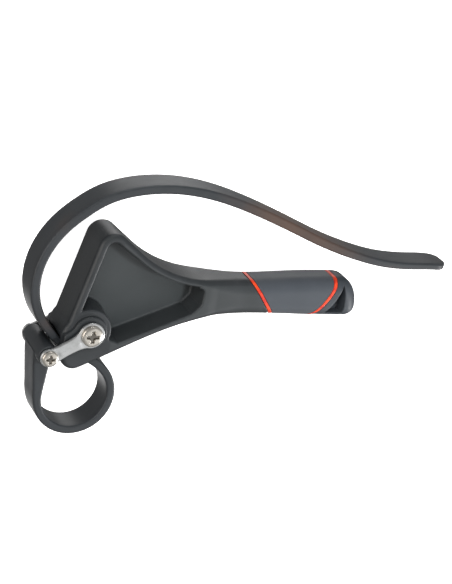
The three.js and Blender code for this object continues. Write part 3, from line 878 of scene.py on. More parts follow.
HARD_PLASTIC = MouldedPlastic(
    "hard_plastic_moulded", Slot.PLASTIC, (0.020, 0.023, 0.025), (0.028, 0.031, 0.034), 0.42, parted=True
)
BUTT_PLASTIC = MouldedPlastic(
    "hard_plastic_butt", Slot.PLASTIC, (0.034, 0.040, 0.047), (0.044, 0.051, 0.060), 0.46
)
GRIP = SoftGrip("grip_soft_rubber", Slot.GRIP, (0.045, 0.052, 0.062), (0.056, 0.064, 0.075), 0.62)
STRAP = StrapRubber(
    "strap_satin_rubber",
    Slot.STRAP,
    deep=(0.020, 0.023, 0.026),
    pale=(0.029, 0.033, 0.037),
    bloom=(0.072, 0.043, 0.031),
    roughness=0.45,
)
# The second red is a shaded copy of the first, used as painted shade.
ACCENT = GlossPlastic("accent_red_plastic", Slot.ACCENT, (0.72, 0.058, 0.013), (0.42, 0.016, 0.012), 0.42)
LINK_ZINC = PlatedMetal("link_zinc_plate", Slot.LINK, (0.70, 0.71, 0.71), (0.58, 0.59, 0.58), 0.3, -0.53)
SCREW_NICKEL = PlatedMetal("screw_nickel", Slot.SCREW, (0.82, 0.78, 0.71), (0.68, 0.63, 0.55), 0.27, 0.0, 0.4)
BUSH_BRONZE = PlatedMetal("bush_bronze", Slot.BUSH, (0.50, 0.34, 0.15), (0.36, 0.23, 0.09), 0.36, 0.9)


def linked(name: str, data: bpy.types.ID) -> bpy.types.Object:
    """A new object of that data, in the scene."""
    made = bpy.data.objects.new(name, data)
    bpy.context.scene.collection.objects.link(made)
    return made


def make_piece(
    name: str, skin: Skin, finish: Finish, body: Body | None, stands_for: Sequence[str], crease: float = 35.0
) -> bpy.types.Object:
    """Makes an object of a skin, paints it and gives it to its body.

    Args:
        name: The piece's name.
        skin: Its surface, in bench millimetres.
        finish: Its finish.
        body: The body it rides on, or None for a piece on no body.
        stands_for: The frame's nodes that it replaces.
        crease: Edges sharper than this many degrees are shaded as creases.

    Returns:
        The object.
    """
    mesh = bpy.data.meshes.new(name)
    mesh.from_pydata(in_frame(skin.points), [], skin.faces)
    mesh.shade_smooth()
    mesh.set_sharp_from_angle(angle=math.radians(crease))
    for mark, values in skin.marks.items():
        mesh.attributes.new(mark, "FLOAT", "POINT").data.foreach_set("value", values.astype(np.float32))
    if skin.uv is not None:
        mesh.uv_layers.new(name="flat").data.foreach_set("uv", skin.uv.astype(np.float32).ravel())
    if skin.normals is not None:
        mesh.normals_split_custom_set_from_vertices(skin.normals.tolist())
    mesh.materials.append(finish.material())
    made = linked(name, mesh)
    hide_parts(*stands_for)
    if body is not None:
        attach(made, body.value)
    LOG.info("%s: %d faces, %s", name, len(mesh.polygons), finish.name)
    return made


# ---- The strap ------------------------------------------------------------------------------------


@dataclass
class Strap:
    """The flat rubber strap: its eye on the cross pin, the working loop, the loose loop and the tail."""

    half_width: float = 11.0
    thickness: float = 6.2
    loop_thickness: float = 5.6
    slot_thickness: float = 5.0
    tip_thickness: float = 4.7
    thick_from: tuple[float, float] = (24.0, 44.0)
    thin_after: float = 0.72
    edge: float = 1.5
    eye_radius: float = 6.9
    eye_bore: float = 4.9
    eye_half: float = 18.5
    sleeve_bore: float = 3.7
    sleeve_gap: float = 0.3
    wedge_places: tuple[float, ...] = (0.0, 7.0, 13.0, 20.0, 27.0, 36.0)
    wedge_inner: tuple[float, ...] = (6.0, 5.3, 4.8, 4.1, 3.3)
    wedge_outer: tuple[float, ...] = (6.4, 5.9, 5.3, 4.5, 3.6)
    loop_centre: tuple[float, float] = (-2.0, -47.3)
    loop_radius: float = 25.0
    leave_angle: float = 40.0
    mouth_from_pin: tuple[float, float] = (5.6, 9.1)
    mouth_heading: float = 132.8
    lead_in: float = 16.0
    lead_out: float = 12.0
    slot_share: float = 0.5
    tip_length: float = 9.0
    bloom_grows: tuple[float, float] = (86.0, 140.0)
    bloom_fades: tuple[float, float] = (156.0, 214.0)
    loose_from_mouth: tuple[tuple[float, float], ...] = ((0.0, 0.0), (-5.7, 6.3), (-12.0, 15.3))
    loose_points: tuple[tuple[float, float], ...] = (
        (-37.0, 21.0), (-37.9, 33.0), (-36.0, 45.0), (-31.0, 57.0), (-23.0, 68.3), (-11.5, 78.7),
        (4.0, 88.8), (22.8, 94.2), (43.0, 95.9), (63.0, 94.3), (84.0, 89.6), (108.0, 81.4),
        (132.0, 71.7), (157.0, 61.0), (181.0, 52.6), (205.0, 46.6), (226.0, 44.6),
        (244.0, 44.6), (257.0, 43.6),
    )

    def __post_init__(self) -> None:
        """Works out the lines that the strap follows."""
        pin = CROSS_PIN[:2]
        mouth = pin + self.mouth_from_pin
        start = polar(self.loop_centre, self.loop_radius, self.leave_angle)
        lead_in = polar(start, self.lead_in, self.leave_angle + 90)
        lead_out = polar(mouth, -self.lead_out, self.mouth_heading)
        slot = resampled(bezier(start, lead_in, lead_out, mouth), 80)
        split = int(self.slot_share * len(slot))
        self.slot_line = slot
        loose = np.concatenate([mouth + self.loose_from_mouth, self.loose_points])
        self.loose_line = np.concatenate([slot[split:-1], spline(loose, 420)])
        wedge_x = self.loop_centre[0] - self.loop_radius
        drop = np.stack([np.full(40, wedge_x), np.linspace(pin[1], self.loop_centre[1], 40)], axis=-1)
        round_line = polar(self.loop_centre, self.loop_radius, np.linspace(180, 360 + self.leave_angle, 160))
        loop = np.concatenate([drop[:-1], round_line[:-1], slot[: split + 1]])
        self.loop_line = resampled(relaxed(resampled(loop, 900), 12), 260)

    def band(self, line: Array, inner: Array, outer: Array, half_width: Array) -> Skin:
        """A band along a line: a rectangle with round corners carried along it, square to it.

        Args:
            line: The line's points.
            inner: How far the band reaches to the left of its line, at each point.
            outer: How far it reaches to the right.
            half_width: Half its width, along Z.

        Returns:
            The closed skin with its flat map.
        """
        way = np.gradient(line, axis=0)
        way /= np.linalg.norm(way, axis=1, keepdims=True)
        left = np.stack([-way[:, 1], way[:, 0]], axis=-1)
        half = (inner + outer) / 2
        corner = np.minimum(self.edge, 0.94 * np.minimum(half, half_width))
        section = box_ring(half, half_width, corner, 5, 6)
        across = section[..., 0] + ((inner - outer) / 2)[:, None]
        flat = line[:, None, :] + across[..., None] * left[:, None, :]
        return loft(np.concatenate([flat, section[..., 1:]], axis=-1), mapped=True)

    def make_loop(self) -> None:
        """The working loop with the wedge that joins it to the eye."""
        along = lengths(self.loop_line)
        half = self.loop_thickness / 2
        inner = np.interp(along, self.wedge_places, (*self.wedge_inner, half))
        outer = np.interp(along, self.wedge_places, (*self.wedge_outer, half))
        skin = self.band(self.loop_line, inner, outer, np.full(len(along), self.half_width))
        loop = make_piece("strap_working_loop", skin, STRAP, None, ["strap_loop"])
        low = in_frame(np.array([self.loop_centre[0], self.loop_centre[1] - self.loop_radius, 0.0]))
        end = in_frame(np.array([CROSS_PIN[0], CROSS_PIN[1] - 1.5 * self.eye_radius, 0.0]))
        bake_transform(loop)

    def make_loose_end(self) -> None:
        """The run through the slot, the loose loop and the tail, which thins towards its rounded tip."""
        along = lengths(self.loose_line)
        whole = along[-1]
        tip = np.sin(np.linspace(0, np.pi / 2, 18))[1:] * self.tip_length + whole - self.tip_length
        at = np.concatenate([along[along < whole - self.tip_length], tip])
        places = [0, *self.thick_from, self.thin_after * whole, whole]
        sizes = [self.slot_thickness, self.slot_thickness, self.thickness, self.thickness, self.tip_thickness]
        thickness = np.interp(at, places, sizes)
        inward = np.clip((at - whole + self.tip_length) / self.tip_length, 0, 0.9999)
        half_width = self.half_width * np.sqrt(1 - inward**2) ** 0.9
        half = thickness / 2 * (1 - ramp(inward, 0.82, 1.0) * 0.35)
        skin = self.band(points_along(self.loose_line, at), half, half, half_width)
        x = skin.points[:, 0]
        bloom = ramp(x, *self.bloom_grows) * (1 - ramp(x, *self.bloom_fades))
        skin.marks["bloom"] = bloom + 0.1 * (1 - ramp(x, -36, -26))
        make_piece("strap_loose_end", skin, STRAP, Body.HANDLE, ["strap_slot_run", "strap_upper", "strap_tail"])

    def make_eye(self) -> None:
        """The moulded eye and the steel sleeve in it."""
        ends = (-self.eye_half, self.eye_half)
        eye = turned(ring_profile(self.eye_radius, self.eye_bore, *ends, 0.9), CROSS_PIN, sides=96)
        eye.uv = np.zeros((4 * len(eye.faces), 2))
        make_piece("strap_moulded_eye", eye, STRAP, Body.STRAP_END, ["strap_eye"])
        sleeve = ring_profile(self.eye_bore - self.sleeve_gap, self.sleeve_bore, *ends, 0.25)
        make_piece("strap_eye_sleeve", turned(sleeve, CROSS_PIN), LINK_ZINC, Body.STRAP_END, ["eye_sleeve"])

    def build(self) -> None:
        """Makes the strap's pieces."""
        self.make_loop()
        self.make_loose_end()
        self.make_eye()


# ---- The lever ------------------------------------------------------------------------------------


def towards_pin(flat: Array) -> Array:
    """Points of a link's own frame turned about the pivot, so that +X points at the cross pin."""
    turn = math.atan2(CROSS_PIN[1], CROSS_PIN[0])
    return flat @ np.array([[math.cos(turn), math.sin(turn)], [-math.sin(turn), math.cos(turn)]])


@dataclass
class Lever:
    """The moulded lever: its head with the two recesses, its neck, the soft grip, accent rings and butt."""

    strap: Strap
    half_depth: float = 15.5
    neck_half_depth: float = 13.5
    tapers: tuple[Triple, ...] = ((0.9, 20.0, 74.0), (0.5, 79.0, 87.0), (0.6, 86.0, 112.0))
    head_edge: float = 3.4
    grip_corner: float = 9.0
    edge_grows: tuple[float, float] = (66.0, 106.0)
    apex: tuple[float, float] = (9.4, 56.2)
    apex_radius: float = 10.4
    slope: float = 14.5
    slope_length: float = 54.4
    saddle: tuple[float, float] = (82.0, 117.5)
    saddle_radius: float = 83.0
    nose_radius: float = 9.2
    nose_gap: float = 2.9
    nose_turn: float = -6.1
    lip_from_pin: tuple[float, float] = (7.9, 12.9)
    nose_leave: float = -66.0
    flange: float = 4.4
    slope_wall: float = 5.4
    bottom_wall: float = 3.6
    front_floor: float = -5.0
    rear_floor: float = -10.0
    recess_right: float = 76.0
    boss_radius: float = 15.2
    draft: float = 0.05
    pad_top: float = 18.5
    pad_low: float = 11.8
    pad_margin: float = 2.8
    bore: float = 5.9
    slot_gap: float = 0.5
    neck_foot: float = 8.9
    head_end: float = 92.0
    grip_start: float = 112.0
    grip_end: float = 142.0
    top_start: float = 33.4
    top_rise: float = 1.6
    top_level_from: float = 160.0
    bottom_start: float = 9.0
    bottom_drop: float = 1.7
    butt_start: float = 140.0
    butt_round: float = 177.0
    butt_foot: float = 183.0
    butt_end: float = 191.4
    butt_tip: float = 15.0
    butt_floor: float = 4.0
    butt_draft: float = 0.12
    wall: float = 3.0
    ring_width: float = 2.2
    front_stretch: float = 1.235
    rear_stretch: float = 1.2
    gap: float = 0.3

    def top(self, x: Array) -> Array:
        """The height of the grip's top at a place along it."""
        return self.top_start + self.top_rise * ramp(x, self.grip_start, self.top_level_from)

    def bottom(self, x: Array) -> Array:
        """The height of the grip's bottom at a place along it."""
        return self.bottom_start - self.bottom_drop * ramp(x, self.grip_start, self.butt_round)

    def front_cut(self, y: Array) -> Array:
        """Where the front cut crosses the grip at a height: a line that runs back as it goes down."""
        return 108 + 0.725 * (36 - y)

    def rear_cut(self, y: Array) -> Array:
        """Where the rear cut crosses the grip at a height: a parabola that bends forward going down."""
        t = np.sqrt(np.maximum(262 - y, 1)) - 15
        return 174.5 - 2 * t - 17 * t**2

    def head_outline(self) -> Array:
        """The head's side view with the neck: slope, apex, saddle, neck, underside, nose and lip."""
        lean = math.radians(self.slope)
        slope_way = np.array([math.sin(lean), math.cos(lean)])
        slope_top = polar(self.apex, self.apex_radius, 180 - self.slope)
        self.notch = slope_top - self.slope_length * slope_way
        between = np.subtract(self.saddle, self.apex)
        reach = (self.apex_radius + self.saddle_radius) / np.hypot(*between)
        self.saddle_turn = math.degrees(math.atan2(between[1], between[0]) + math.acos(reach))
        nose = polar(CROSS_PIN, self.strap.eye_radius + self.nose_gap + self.nose_radius, self.nose_turn)
        lip = CROSS_PIN[:2] + self.lip_from_pin
        self.lip_x = lip[0]
        low = self.saddle[1] - self.saddle_radius
        x = np.linspace(self.grip_start, self.grip_end, 12)
        foot, nose_foot = self.neck_foot, polar(nose, self.nose_radius, self.nose_leave)
        return np.concatenate([
            arc(self.apex, self.apex_radius, 180 - self.slope, self.saddle_turn),
            arc(self.saddle, self.saddle_radius, self.saddle_turn + 180, 266),
            bezier((77, low + 0.1), (90, low - 0.7), (100, self.top_start), (111, self.top_start), count=24),
            np.stack([x, self.top(x)], axis=-1),
            np.stack([x, self.bottom(x)], axis=-1)[::-1],
            bezier((self.head_end, foot), (62, foot), (24, -13.5), nose_foot, count=50),
            arc(nose, self.nose_radius, self.nose_leave, -180)[1:],
            bezier(lip, (lip[0] + 0.8, self.notch[1] - 4), self.notch, count=16),
        ])

    def recess_outline(self) -> Array:
        """The recess's side view before the boss is cut out: slope, apex, saddle, right end, underside."""
        lean = math.radians(self.slope)
        slope_top = polar(self.apex, self.apex_radius - self.slope_wall, 180 - self.slope)
        foot = slope_top - (slope_top[1] - 6) / math.cos(lean) * np.array([math.sin(lean), math.cos(lean)])
        right, top = self.recess_right, self.saddle[1] - self.saddle_radius - self.flange - 0.6
        low = self.neck_foot + self.bottom_wall
        return np.concatenate([
            [foot],
            arc(self.apex, self.apex_radius - self.slope_wall, 180 - self.slope, self.saddle_turn),
            arc(self.saddle, self.saddle_radius + self.flange, self.saddle_turn + 180, 264),
            bezier((right - 4, top), (right, top), (right, top - 4), count=12),
            [(right - 0.5, low + 5.8), (right - 1.3, low + 4.4), (right - 5.2, low + 0.2)],
            bezier((right - 6.8, low - 1.1), (48, 2.6), (20.8, -8.2), count=40),
            [(4.0, -2.0)],
        ])

    def link_outline(self, margin: float) -> Array:
        """A link's outline on the bench, grown by that margin."""
        return towards_pin(Linkage.plate_outline(margin))

    def make_head(self) -> None:
        """The head and neck in one moulding.

        Formula: the side view carried through the depth with round edges, less the front and the rear
        recess with their draft, plus the raised pads under the links, less the strap's slot and the bore.
        """
        low, high = (-22.0, -30.0), (136.0, 70.0)
        side = Plan(self.head_outline(), low, high)
        recess = Plan(self.recess_outline(), low, high)
        pad = Plan(self.link_outline(self.pad_margin), low, high)
        run = np.concatenate([self.strap.slot_line, self.strap.loose_line[40:90]])
        slot = Plan(run, low, high, closed=False)
        half_slot = self.strap.thickness / 2 + self.slot_gap
        slot_reach = self.strap.half_width + self.slot_gap
        edge_growth = self.grip_corner - self.head_edge

        def solid(x: Array, y: Array, z: Array) -> Array:
            """The head's distance."""
            depth = np.abs(z)
            half = self.half_depth
            for drop, start, stop in self.tapers:
                half = half - drop * ramp(x, start, stop)
            edge = self.head_edge + edge_growth * ramp(x, *self.edge_grows)
            body = round_cut(side(x, y), depth - half, edge)
            plan = round_cut(recess(x, y), self.boss_radius - np.hypot(x, y), 1.6)
            front = round_cut(plan + self.draft * (half - z), self.front_floor - z, 1.5)
            rear = round_cut(plan + self.draft * (half + z), z - self.rear_floor, 1.2)
            body = round_cut(round_cut(body, -front, 1.4), -rear, 0.9)
            raised = round_cut(pad(x, y), depth - self.pad_top, 1.3)
            raised = round_cut(raised, np.maximum(self.lip_x + 1.0 - x, self.pad_low - depth), 0.9)
            body = round_join(body, raised, 0.6)
            channel = round_cut(slot(x, y) - half_slot, depth - slot_reach, 0.9)
            body = round_cut(body, -channel, 0.6)
            body = round_cut(body, self.bore - np.hypot(x, y), 0.3)
            cut = (x - self.front_cut(y) + self.gap / 2) / self.front_stretch
            return round_cut(body, cut, 0.45)

        lattice = Lattice(
            graded((-20.5, 126.0, 0.62)),
            graded((-28.0, 68.5, 0.62)),
            graded(
                (-19.4, -8.2, 0.62), (-8.2, -6.4, 0.9), (-6.4, -3.0, 0.6), (-3.0, 10.4, 1.7), (10.4, 19.4, 0.62)
            ),
        )
        skin = level_skin(solid, lattice)
        x, y, z = skin.points.T
        skin.marks["rim"] = ramp(side(x, y), -1.2, -0.4)
        off_web = np.maximum(z - self.front_floor, self.rear_floor - z)
        # Painted fill light, partly a real rougher finish: the mark covers the recess floors and, at 0.45, every
        # face more than about 3 mm inside the outline behind the boss.
        hollow = ramp(-recess(x, y), 0.4, 1.6) * (1 - ramp(off_web, 0.4, 1.4))
        skin.marks["matt"] = np.maximum(hollow, 0.45 * ramp(-side(x, y), 2.6, 3.2) * (x > self.boss_radius))
        make_piece("lever_head_and_neck", skin, HARD_PLASTIC, Body.HANDLE, ["handle_body"], crease=180)

    def sleeve(self, start: Cut, stop: Cut, rows: int, edge: float) -> Skin:
        """A sleeve of the handle's skin between two cuts, with rolled ends and a bore.

        Formula: a closed profile of (share of the way from cut to cut, shift along X, depth under the
        skin) is carried round the handle's section, a rectangle with round corners.

        Args:
            start: Where the first cut crosses at a height.
            stop: Where the second cut crosses.
            rows: Steps from one cut to the other.
            edge: The radius of the rolled ends.

        Returns:
            The closed skin.
        """
        roll = np.radians(np.linspace(0, 90, 5))
        shift, depth = edge * (1 - np.cos(roll)), edge * (1 - np.sin(roll))
        middle = np.linspace(0, 1, rows)
        inner = np.linspace(1, 0, max(4, rows // 3))
        share = np.concatenate([np.zeros(5), middle, np.ones(5), inner])
        move = np.concatenate([shift, edge * (1 - 2 * middle), -shift[::-1], np.zeros(len(inner))])
        inset = np.concatenate([depth, 0 * middle, depth[::-1], np.full(len(inner), self.wall)])
        x = np.full((len(share), 1), self.butt_start)
        for _ in range(2):
            half_y, middle_y = (self.top(x) - self.bottom(x)) / 2, (self.top(x) + self.bottom(x)) / 2
            mean_y = half_y.mean(1) - inset
            unit = box_ring(mean_y, self.neck_half_depth - inset, self.grip_corner - inset, 10, 7)
            y = middle_y + unit[..., 0] * (half_y - inset[:, None]) / mean_y[:, None]
            x = start(y) + share[:, None] * (stop(y) - start(y)) + move[:, None]
        return loft(np.stack([x, y, unit[..., 1]], axis=-1), wrap=True)

    def make_grip(self) -> None:
        """The soft grip and the two accent rings beside it."""
        wide = self.ring_width * self.front_stretch
        rear_wide = self.ring_width * self.rear_stretch
        half = self.gap / 2
        front, rear = self.front_cut, self.rear_cut
        cuts: dict[str, tuple[Cut, Cut]] = {
            "front_accent_ring": (lambda y: front(y) + half, lambda y: front(y) + wide - half),
            "grip_sleeve": (lambda y: front(y) + wide + half, lambda y: rear(y) - rear_wide - half),
            "rear_accent_ring": (lambda y: rear(y) - rear_wide + half, lambda y: rear(y) - half),
        }
        for node, (start, stop) in cuts.items():
            is_grip = node == "grip_sleeve"
            skin = self.sleeve(start, stop, 60 if is_grip else 6, 0.5 if is_grip else 0.3)
            make_piece(f"lever_{node}", skin, GRIP if is_grip else ACCENT, Body.HANDLE, [node])

    def butt_outline(self) -> Array:
        """The handle's end from the side: straight above and below, rounded off by quarter ellipses."""
        x = np.linspace(self.butt_start, self.butt_round, 30)[:-1]
        turn = np.radians(np.linspace(90, 0, 40))
        over_x = self.butt_round + (self.butt_end - self.butt_round) * np.cos(turn)
        over_y = self.butt_tip + (self.top(over_x) - self.butt_tip) * np.sin(turn)
        foot_x = self.butt_foot + (self.butt_end - self.butt_foot) * np.cos(turn)
        foot_y = self.butt_tip - (self.butt_tip - self.bottom(foot_x)) * np.sin(turn)
        return np.concatenate([
            np.stack([x, self.top(x)], axis=-1),
            np.stack([over_x, over_y], axis=-1),
            np.stack([foot_x, foot_y], axis=-1)[-2::-1],
            [(self.butt_start, self.bottom(np.array(self.butt_start)))],
        ])

    def make_butt(self) -> None:
        """The butt behind the rear ring: a rounded end with a three-cornered hollow in each side."""
        low, high = (148.0, 0.0), (198.0, 42.0)
        side = Plan(self.butt_outline(), low, high)
        corner = np.concatenate([
            bezier((178.4, 31.5), (181.2, 22), (180.4, 10.6), count=20),
            bezier((166.5, 10.6), (174.5, 19), (178.4, 31.5), count=20)[:-1],
        ])
        hollow = Plan(corner, low, high)

        def solid(x: Array, y: Array, z: Array) -> Array:
            """The butt's distance."""
            depth = np.abs(z)
            body = round_cut(side(x, y), depth - self.neck_half_depth, self.grip_corner)
            wall = hollow(x, y) + self.butt_draft * (self.neck_half_depth - depth)
            pocket = round_cut(wall, self.butt_floor - depth, 1.0)
            body = round_cut(body, -pocket, 0.6)
            return round_cut(body, 0.85 * (self.rear_cut(y) + self.gap / 2 - x), 0.4)

        lattice = Lattice(graded((150.0, 193.0, 0.5)), graded((4.0, 37.5, 0.5)), graded((-14.4, 14.4, 0.5)))
        skin = level_skin(solid, lattice)
        make_piece("lever_butt", skin, BUTT_PLASTIC, Body.HANDLE, ["butt_cap"], crease=180)

    def build(self) -> None:
        """Makes the lever's pieces."""
        self.make_head()
        self.make_grip()
        self.make_butt()


# ---- The links ------------------------------------------------------------------------------------


@dataclass
class Linkage:
    """The two links, the main pivot and the cross pin, with their screws, washers, barrels and bushes."""

    thickness: float = 2.0
    plate_edge: float = 0.8
    crown: float = 0.55
    crown_run: float = 3.0
    cap_shares: tuple[float, ...] = (0.004, 0.25, 0.5, 0.7, 0.82)
    plate_low: float = 19.5
    washer_low: float = 18.7
    washer_thickness: float = 0.6
    screw_low: float = 21.7
    pivot_head: tuple[float, float] = (7.0, 2.6)
    cross_head: tuple[float, float] = (5.3, 2.2)
    rim_share: float = 0.4
    recess_arm: float = 0.6
    recess_half: float = 0.18
    recess_well: float = 0.33
    recess_depth: float = 0.95
    recess_turn: float = 0.5
    pivot_washer: tuple[float, float] = (8.0, 4.5)
    cross_washer: tuple[float, float] = (5.6, 3.7)
    pivot_bush: tuple[float, float, float, float] = (5.7, 4.5, 8.5, 18.5)

    @staticmethod
    def plate_outline(margin: float = 0.0) -> Array:
        """A link's outline in its own frame, from the pivot at the origin to the pin on +X.

        Args:
            margin: How far the outline is grown.

        Returns:
            The outline's points, against the clock.
        """
        length = PIN_REACH
        big, small, waist = 8.8 + margin, 6.2 + margin, 4.8 + margin
        big_arc = arc((0, 0), big, 52, 308)
        small_arc = arc((length, 0), small, -100, 100)
        haunch = (0.95 * big, -waist - 0.2)
        lower = bezier(big_arc[-1], haunch, (0.45 * length, -waist), (0.62 * length, -waist), count=30)
        closing = bezier(lower[-1], (length - 4.2, -waist), small_arc[0], count=10)
        half = np.concatenate([lower, closing[1:-1]])
        return np.concatenate([big_arc[:-1], half, small_arc, (half * (1, -1))[::-1]])

    def make_plate(self, side: Side) -> None:
        """One link: its outline carried up through the plate with round rims, closed over its middle line.

        Formula: each ring is the outline drawn in towards the spine between the two pins, by the quarter
        circle of the rim or by the cap's shares, and the waist of the upper cap is crowned by 1 - share^2.

        Args:
            side: The side of the lever it lies on.
        """
        outline = resampled(np.concatenate([self.plate_outline(), self.plate_outline()[:1]]), 241)[:-1]
        spine = np.stack([np.clip(outline[:, 0], 0, PIN_REACH), 0 * outline[:, 1]], axis=-1)
        reach = np.linalg.norm(outline - spine, axis=1)
        turn = np.radians(np.linspace(0, 90, 6))
        inward = self.plate_edge * (1 - np.sin(turn))
        height = self.plate_edge * (1 - np.cos(turn))
        inset = np.concatenate([inward, inward[::-1]])
        level = np.concatenate([height, self.thickness - height[::-1]])
        share = 1 - inset[:, None] / reach
        cap = np.array(self.cap_shares)
        caps = cap[:, None] * np.ones_like(reach)
        share = np.concatenate([caps, share, caps[::-1]])
        level = np.concatenate([0 * cap, level, np.full(len(cap), self.thickness)]) + self.plate_low
        flat = spine + share[..., None] * (outline - spine)
        big, small = self.pivot_head[0], PIN_REACH - self.cross_head[0]
        x, is_upper = flat[..., 0], (np.arange(len(share)) > len(share) / 2)[:, None]
        waist = ramp(x, big, big + self.crown_run) * (1 - ramp(x, small - self.crown_run, small))
        crown = self.crown * (1 - share**2) * waist * is_upper
        rings = np.concatenate([towards_pin(flat), (level[:, None] + crown)[..., None]], axis=-1)
        skin = loft(rings * (1, 1, side.value))
        make_piece(f"link_plate_{side.word}", skin, LINK_ZINC, Body.LINKS, [f"link_{side.word}"])

    def make_screw(
        self, name: str, node: str, centre: Sequence[float], size: tuple[float, float], side: Side
    ) -> None:
        """A pan-head screw: a domed head with a cross recess over a flat underside.

        Formula: the head's top is a height over circles of growing radius, a quarter ellipse less the
        recess, whose depth fades over the edge of a cross with tapered arms.

        Args:
            name: The piece's name.
            node: The frame's node that it replaces.
            centre: The screw's axis.
            size: The head's radius and height.
            side: The side of the lever it is on.
        """
        head_radius, head_height = size
        rim = self.rim_share * head_height
        radius = np.concatenate([np.linspace(0.02, 0.7, 34)[:-1], np.sin(np.linspace(0.775, np.pi / 2, 14))])
        radius = radius * head_radius
        turn = np.linspace(0, 2 * np.pi, 144, endpoint=False)
        arm, half = self.recess_arm * head_radius, self.recess_half * head_radius
        well, deep = self.recess_well * head_radius, self.recess_depth * head_height

        def sunk(x: Array, y: Array) -> Array:
            """How far a place lies in the cross recess, from 0 outside it to 1."""
            long_way, short_way = np.maximum(np.abs(x), np.abs(y)), np.minimum(np.abs(x), np.abs(y))
            cross = np.minimum(np.maximum(long_way - arm, short_way - half), np.hypot(x, y) - well)
            return 1 - ramp(cross, -0.4, 0.08)

        r, t = radius[:, None], turn[None, :] + self.recess_turn
        x, y = r * np.cos(t), r * np.sin(t)
        dome = rim + (head_height - rim) * np.sqrt(np.maximum(1 - (r / head_radius) ** 2, 0))
        sloped = (1 - 0.5 * np.maximum(np.abs(x), np.abs(y)) / arm).clip(0, 1)
        top = np.stack([x, y, dome - deep * sunk(x, y) * sloped], axis=-1)
        under = np.array([[1.0, 0.12], [0.985, 0.0], [0.6, 0.0], [0.3, 0.0], [0.02, 0.0]])
        ring = np.stack([np.cos(t[0]), np.sin(t[0])], axis=-1)
        flat = under[:, None, :1] * head_radius * ring[None]
        below = np.concatenate([flat, np.broadcast_to(under[:, None, 1:], (*flat.shape[:2], 1))], axis=-1)
        rings = np.concatenate([top, below])
        rings[..., :2] += np.asarray(centre)[:2]
        rings[..., 2] = (rings[..., 2] + self.screw_low) * side.value
        skin = loft(rings)
        # Painted shade: the mark covers the cross recess on the head's top, where the colour is darkened.
        off_axis = skin.points[:, :2] - np.asarray(centre)[:2]
        is_top = np.abs(skin.points[:, 2]) > self.screw_low + 0.05
        skin.marks["tarnish"] = sunk(*off_axis.T) * is_top
        make_piece(name, skin, SCREW_NICKEL, Body.LINKS, [node], crease=50)

    def make_washers(self, side: Side) -> None:
        """The thin washers under the link, and the bronze bush in the head.

        Args:
            side: The side of the lever they lie on.
        """
        word, z = side.word, self.washer_low
        for pin, centre, size in (("pivot", (0, 0), self.pivot_washer), ("cross", CROSS_PIN, self.cross_washer)):
            washer = turned(ring_profile(*size, z, z + self.washer_thickness, 0.12), centre, side)
            make_piece(f"washer_{pin}_{word}", washer, LINK_ZINC, Body.LINKS, [f"{pin}_washer_{word}"])
        bush = turned(ring_profile(*self.pivot_bush, 0.3), (0, 0), side)
        make_piece(f"bush_pivot_{word}", bush, BUSH_BRONZE, Body.HANDLE, [f"pivot_bush_{word}"])

    def build(self) -> None:
        """Makes the links' pieces."""
        reach = self.washer_low + self.washer_thickness
        for side in Side:
            word = side.word
            self.make_plate(side)
            self.make_washers(side)
            self.make_screw(f"screw_pivot_{word}", f"pivot_screw_{word}", (0, 0), self.pivot_head, side)
            self.make_screw(f"screw_cross_{word}", f"cross_screw_{word}", CROSS_PIN, self.cross_head, side)
        barrels = {"pivot": (4.2, 2.9, (0.0, 0.0)), "cross": (3.4, 2.2, CROSS_PIN)}
        for pin, (outer, inner, centre) in barrels.items():
            barrel = turned(ring_profile(outer, inner, -reach, reach, 0.3), centre)
            make_piece(f"barrel_{pin}", barrel, SCREW_NICKEL, Body.LINKS, [f"{pin}_barrel"])


# ---- The studio -----------------------------------------------------------------------------------


@dataclass
class Lamp:
    """A soft square light that looks at the tool: its place, size, power and tint, and whether it glints."""

    name: str
    place: Triple
    size: float
    watts: float
    tint: Colour = (1.0, 1.0, 1.0)
    glossy: bool = True


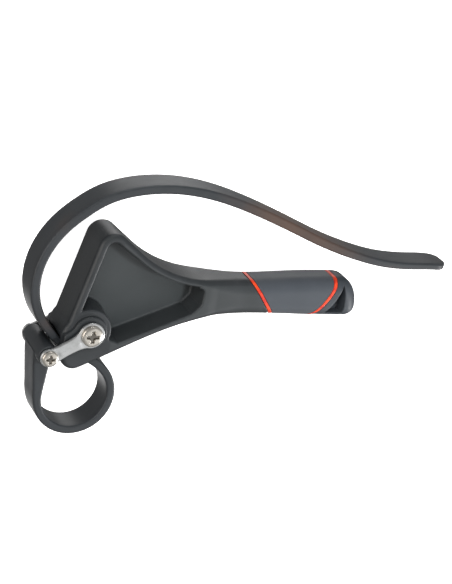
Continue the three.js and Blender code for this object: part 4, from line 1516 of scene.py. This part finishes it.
@dataclass
class Studio:
    """The pale floor, the lamps and the camera."""

    lens: float = 114.04
    camera_place: Triple = (-396.15, 462.5, 1029.9)
    right: Triple = (0.91499, 0.158669, 0.370974)
    up: Triple = (0.000218, 0.919237, -0.393705)
    sky: float = 0.28
    floor_reach: float = 12.0
    floor_tones: tuple[Colour, Colour] = ((0.93, 0.93, 0.93), (0.96, 0.96, 0.96))
    floor_glow: float = 0.9
    lamps: tuple[Lamp, ...] = (
        Lamp("lamp_key", (0.33, 0.16, 1.1), 0.14, 9.0, glossy=False),
        Lamp("lamp_fill", (-0.55, 0.7, 0.9), 0.8, 9.0, glossy=False),
        Lamp("lamp_above", (0.1, 1.1, -0.1), 0.6, 3.5),
        Lamp("lamp_behind", (0.3, 0.6, -0.85), 0.6, 2.0),
        Lamp("lamp_low_right", (0.9, -0.5, 0.4), 0.35, 6.5),
        Lamp("lamp_left", (-0.9, 0.05, 0.6), 0.7, 3.2, (1.0, 0.92, 0.86)),
        Lamp("lamp_rim", (-0.05, -0.65, -0.75), 0.5, 1.4),
        Lamp("lamp_front", (0.45, -0.5, 1.1), 1.5, 3.4),
    )

    def make_floor(self) -> None:
        """A wide pale floor under the tool, a little uneven in tone."""
        low, high = (Vector(corner) for corner in CAD_BOX)
        middle, reach = (low + high) / 2, self.floor_reach
        signs = ((-1, -1), (1, -1), (1, 1), (-1, 1))
        corners = [(middle.x + i * reach, middle.y + j * reach, low.z) for i, j in signs]
        mesh = bpy.data.meshes.new("floor")
        mesh.from_pydata(corners, [], [(0, 1, 2, 3)])
        paint = Paint("floor_pale")
        cloud = paint.noise(paint.place(), 3.0)
        paint.shade(
            Base_Color=paint.mixed(cloud, *self.floor_tones),
            Roughness=0.9,
            Emission_Color=(1.0, 1.0, 1.0),
            Emission_Strength=self.floor_glow,
        )
        mesh.materials.append(paint.material)
        floor = linked("floor", mesh)
        floor.visible_diffuse = floor.visible_glossy = floor.visible_shadow = False

    def make_light(self) -> None:
        """An even white sky and the lamps, each turned to the tool."""
        world = bpy.data.worlds.new("studio_sky")
        world.use_nodes = True
        sky = world.node_tree.nodes["Background"]
        sky.inputs["Color"].default_value = (1.0, 1.0, 1.0, 1.0)
        sky.inputs["Strength"].default_value = self.sky
        bpy.context.scene.world = world
        bpy.context.scene.view_settings.view_transform = "Standard"
        for lamp in self.lamps:
            data = bpy.data.lights.new(lamp.name, "AREA")
            data.energy, data.size, data.color = lamp.watts, lamp.size, lamp.tint
            made = linked(lamp.name, data)
            made.location = lamp.place
            made.visible_glossy = lamp.glossy
            made.rotation_euler = (-Vector(lamp.place)).to_track_quat("-Z", "Y").to_euler()

    def make_camera(self) -> None:
        """The camera, from its place on the bench and its own right and up."""
        data = bpy.data.cameras.new("camera")
        data.lens = self.lens
        data.clip_start, data.clip_end = 0.01, 50.0
        made = linked("camera", data)
        right, up = Vector(self.right).normalized(), Vector(self.up)
        back = right.cross(up).normalized()
        turn = Matrix((right, back.cross(right), back)).transposed().to_4x4()
        made.matrix_world = Matrix.Translation(in_frame(np.array(self.camera_place))) @ turn
        bpy.context.scene.camera = made

    def build(self) -> None:
        """Makes the stage."""
        self.make_camera()
        self.make_floor()
        self.make_light()


def main() -> None:
    """Builds the stage, the strap, the lever and the links."""
    logging.basicConfig(level=logging.INFO, format="%(name)s: %(message)s")
    Studio().build()
    strap = Strap()
    strap.build()
    Lever(strap).build()
    Linkage().build()


if __name__ == "__main__":
    main()
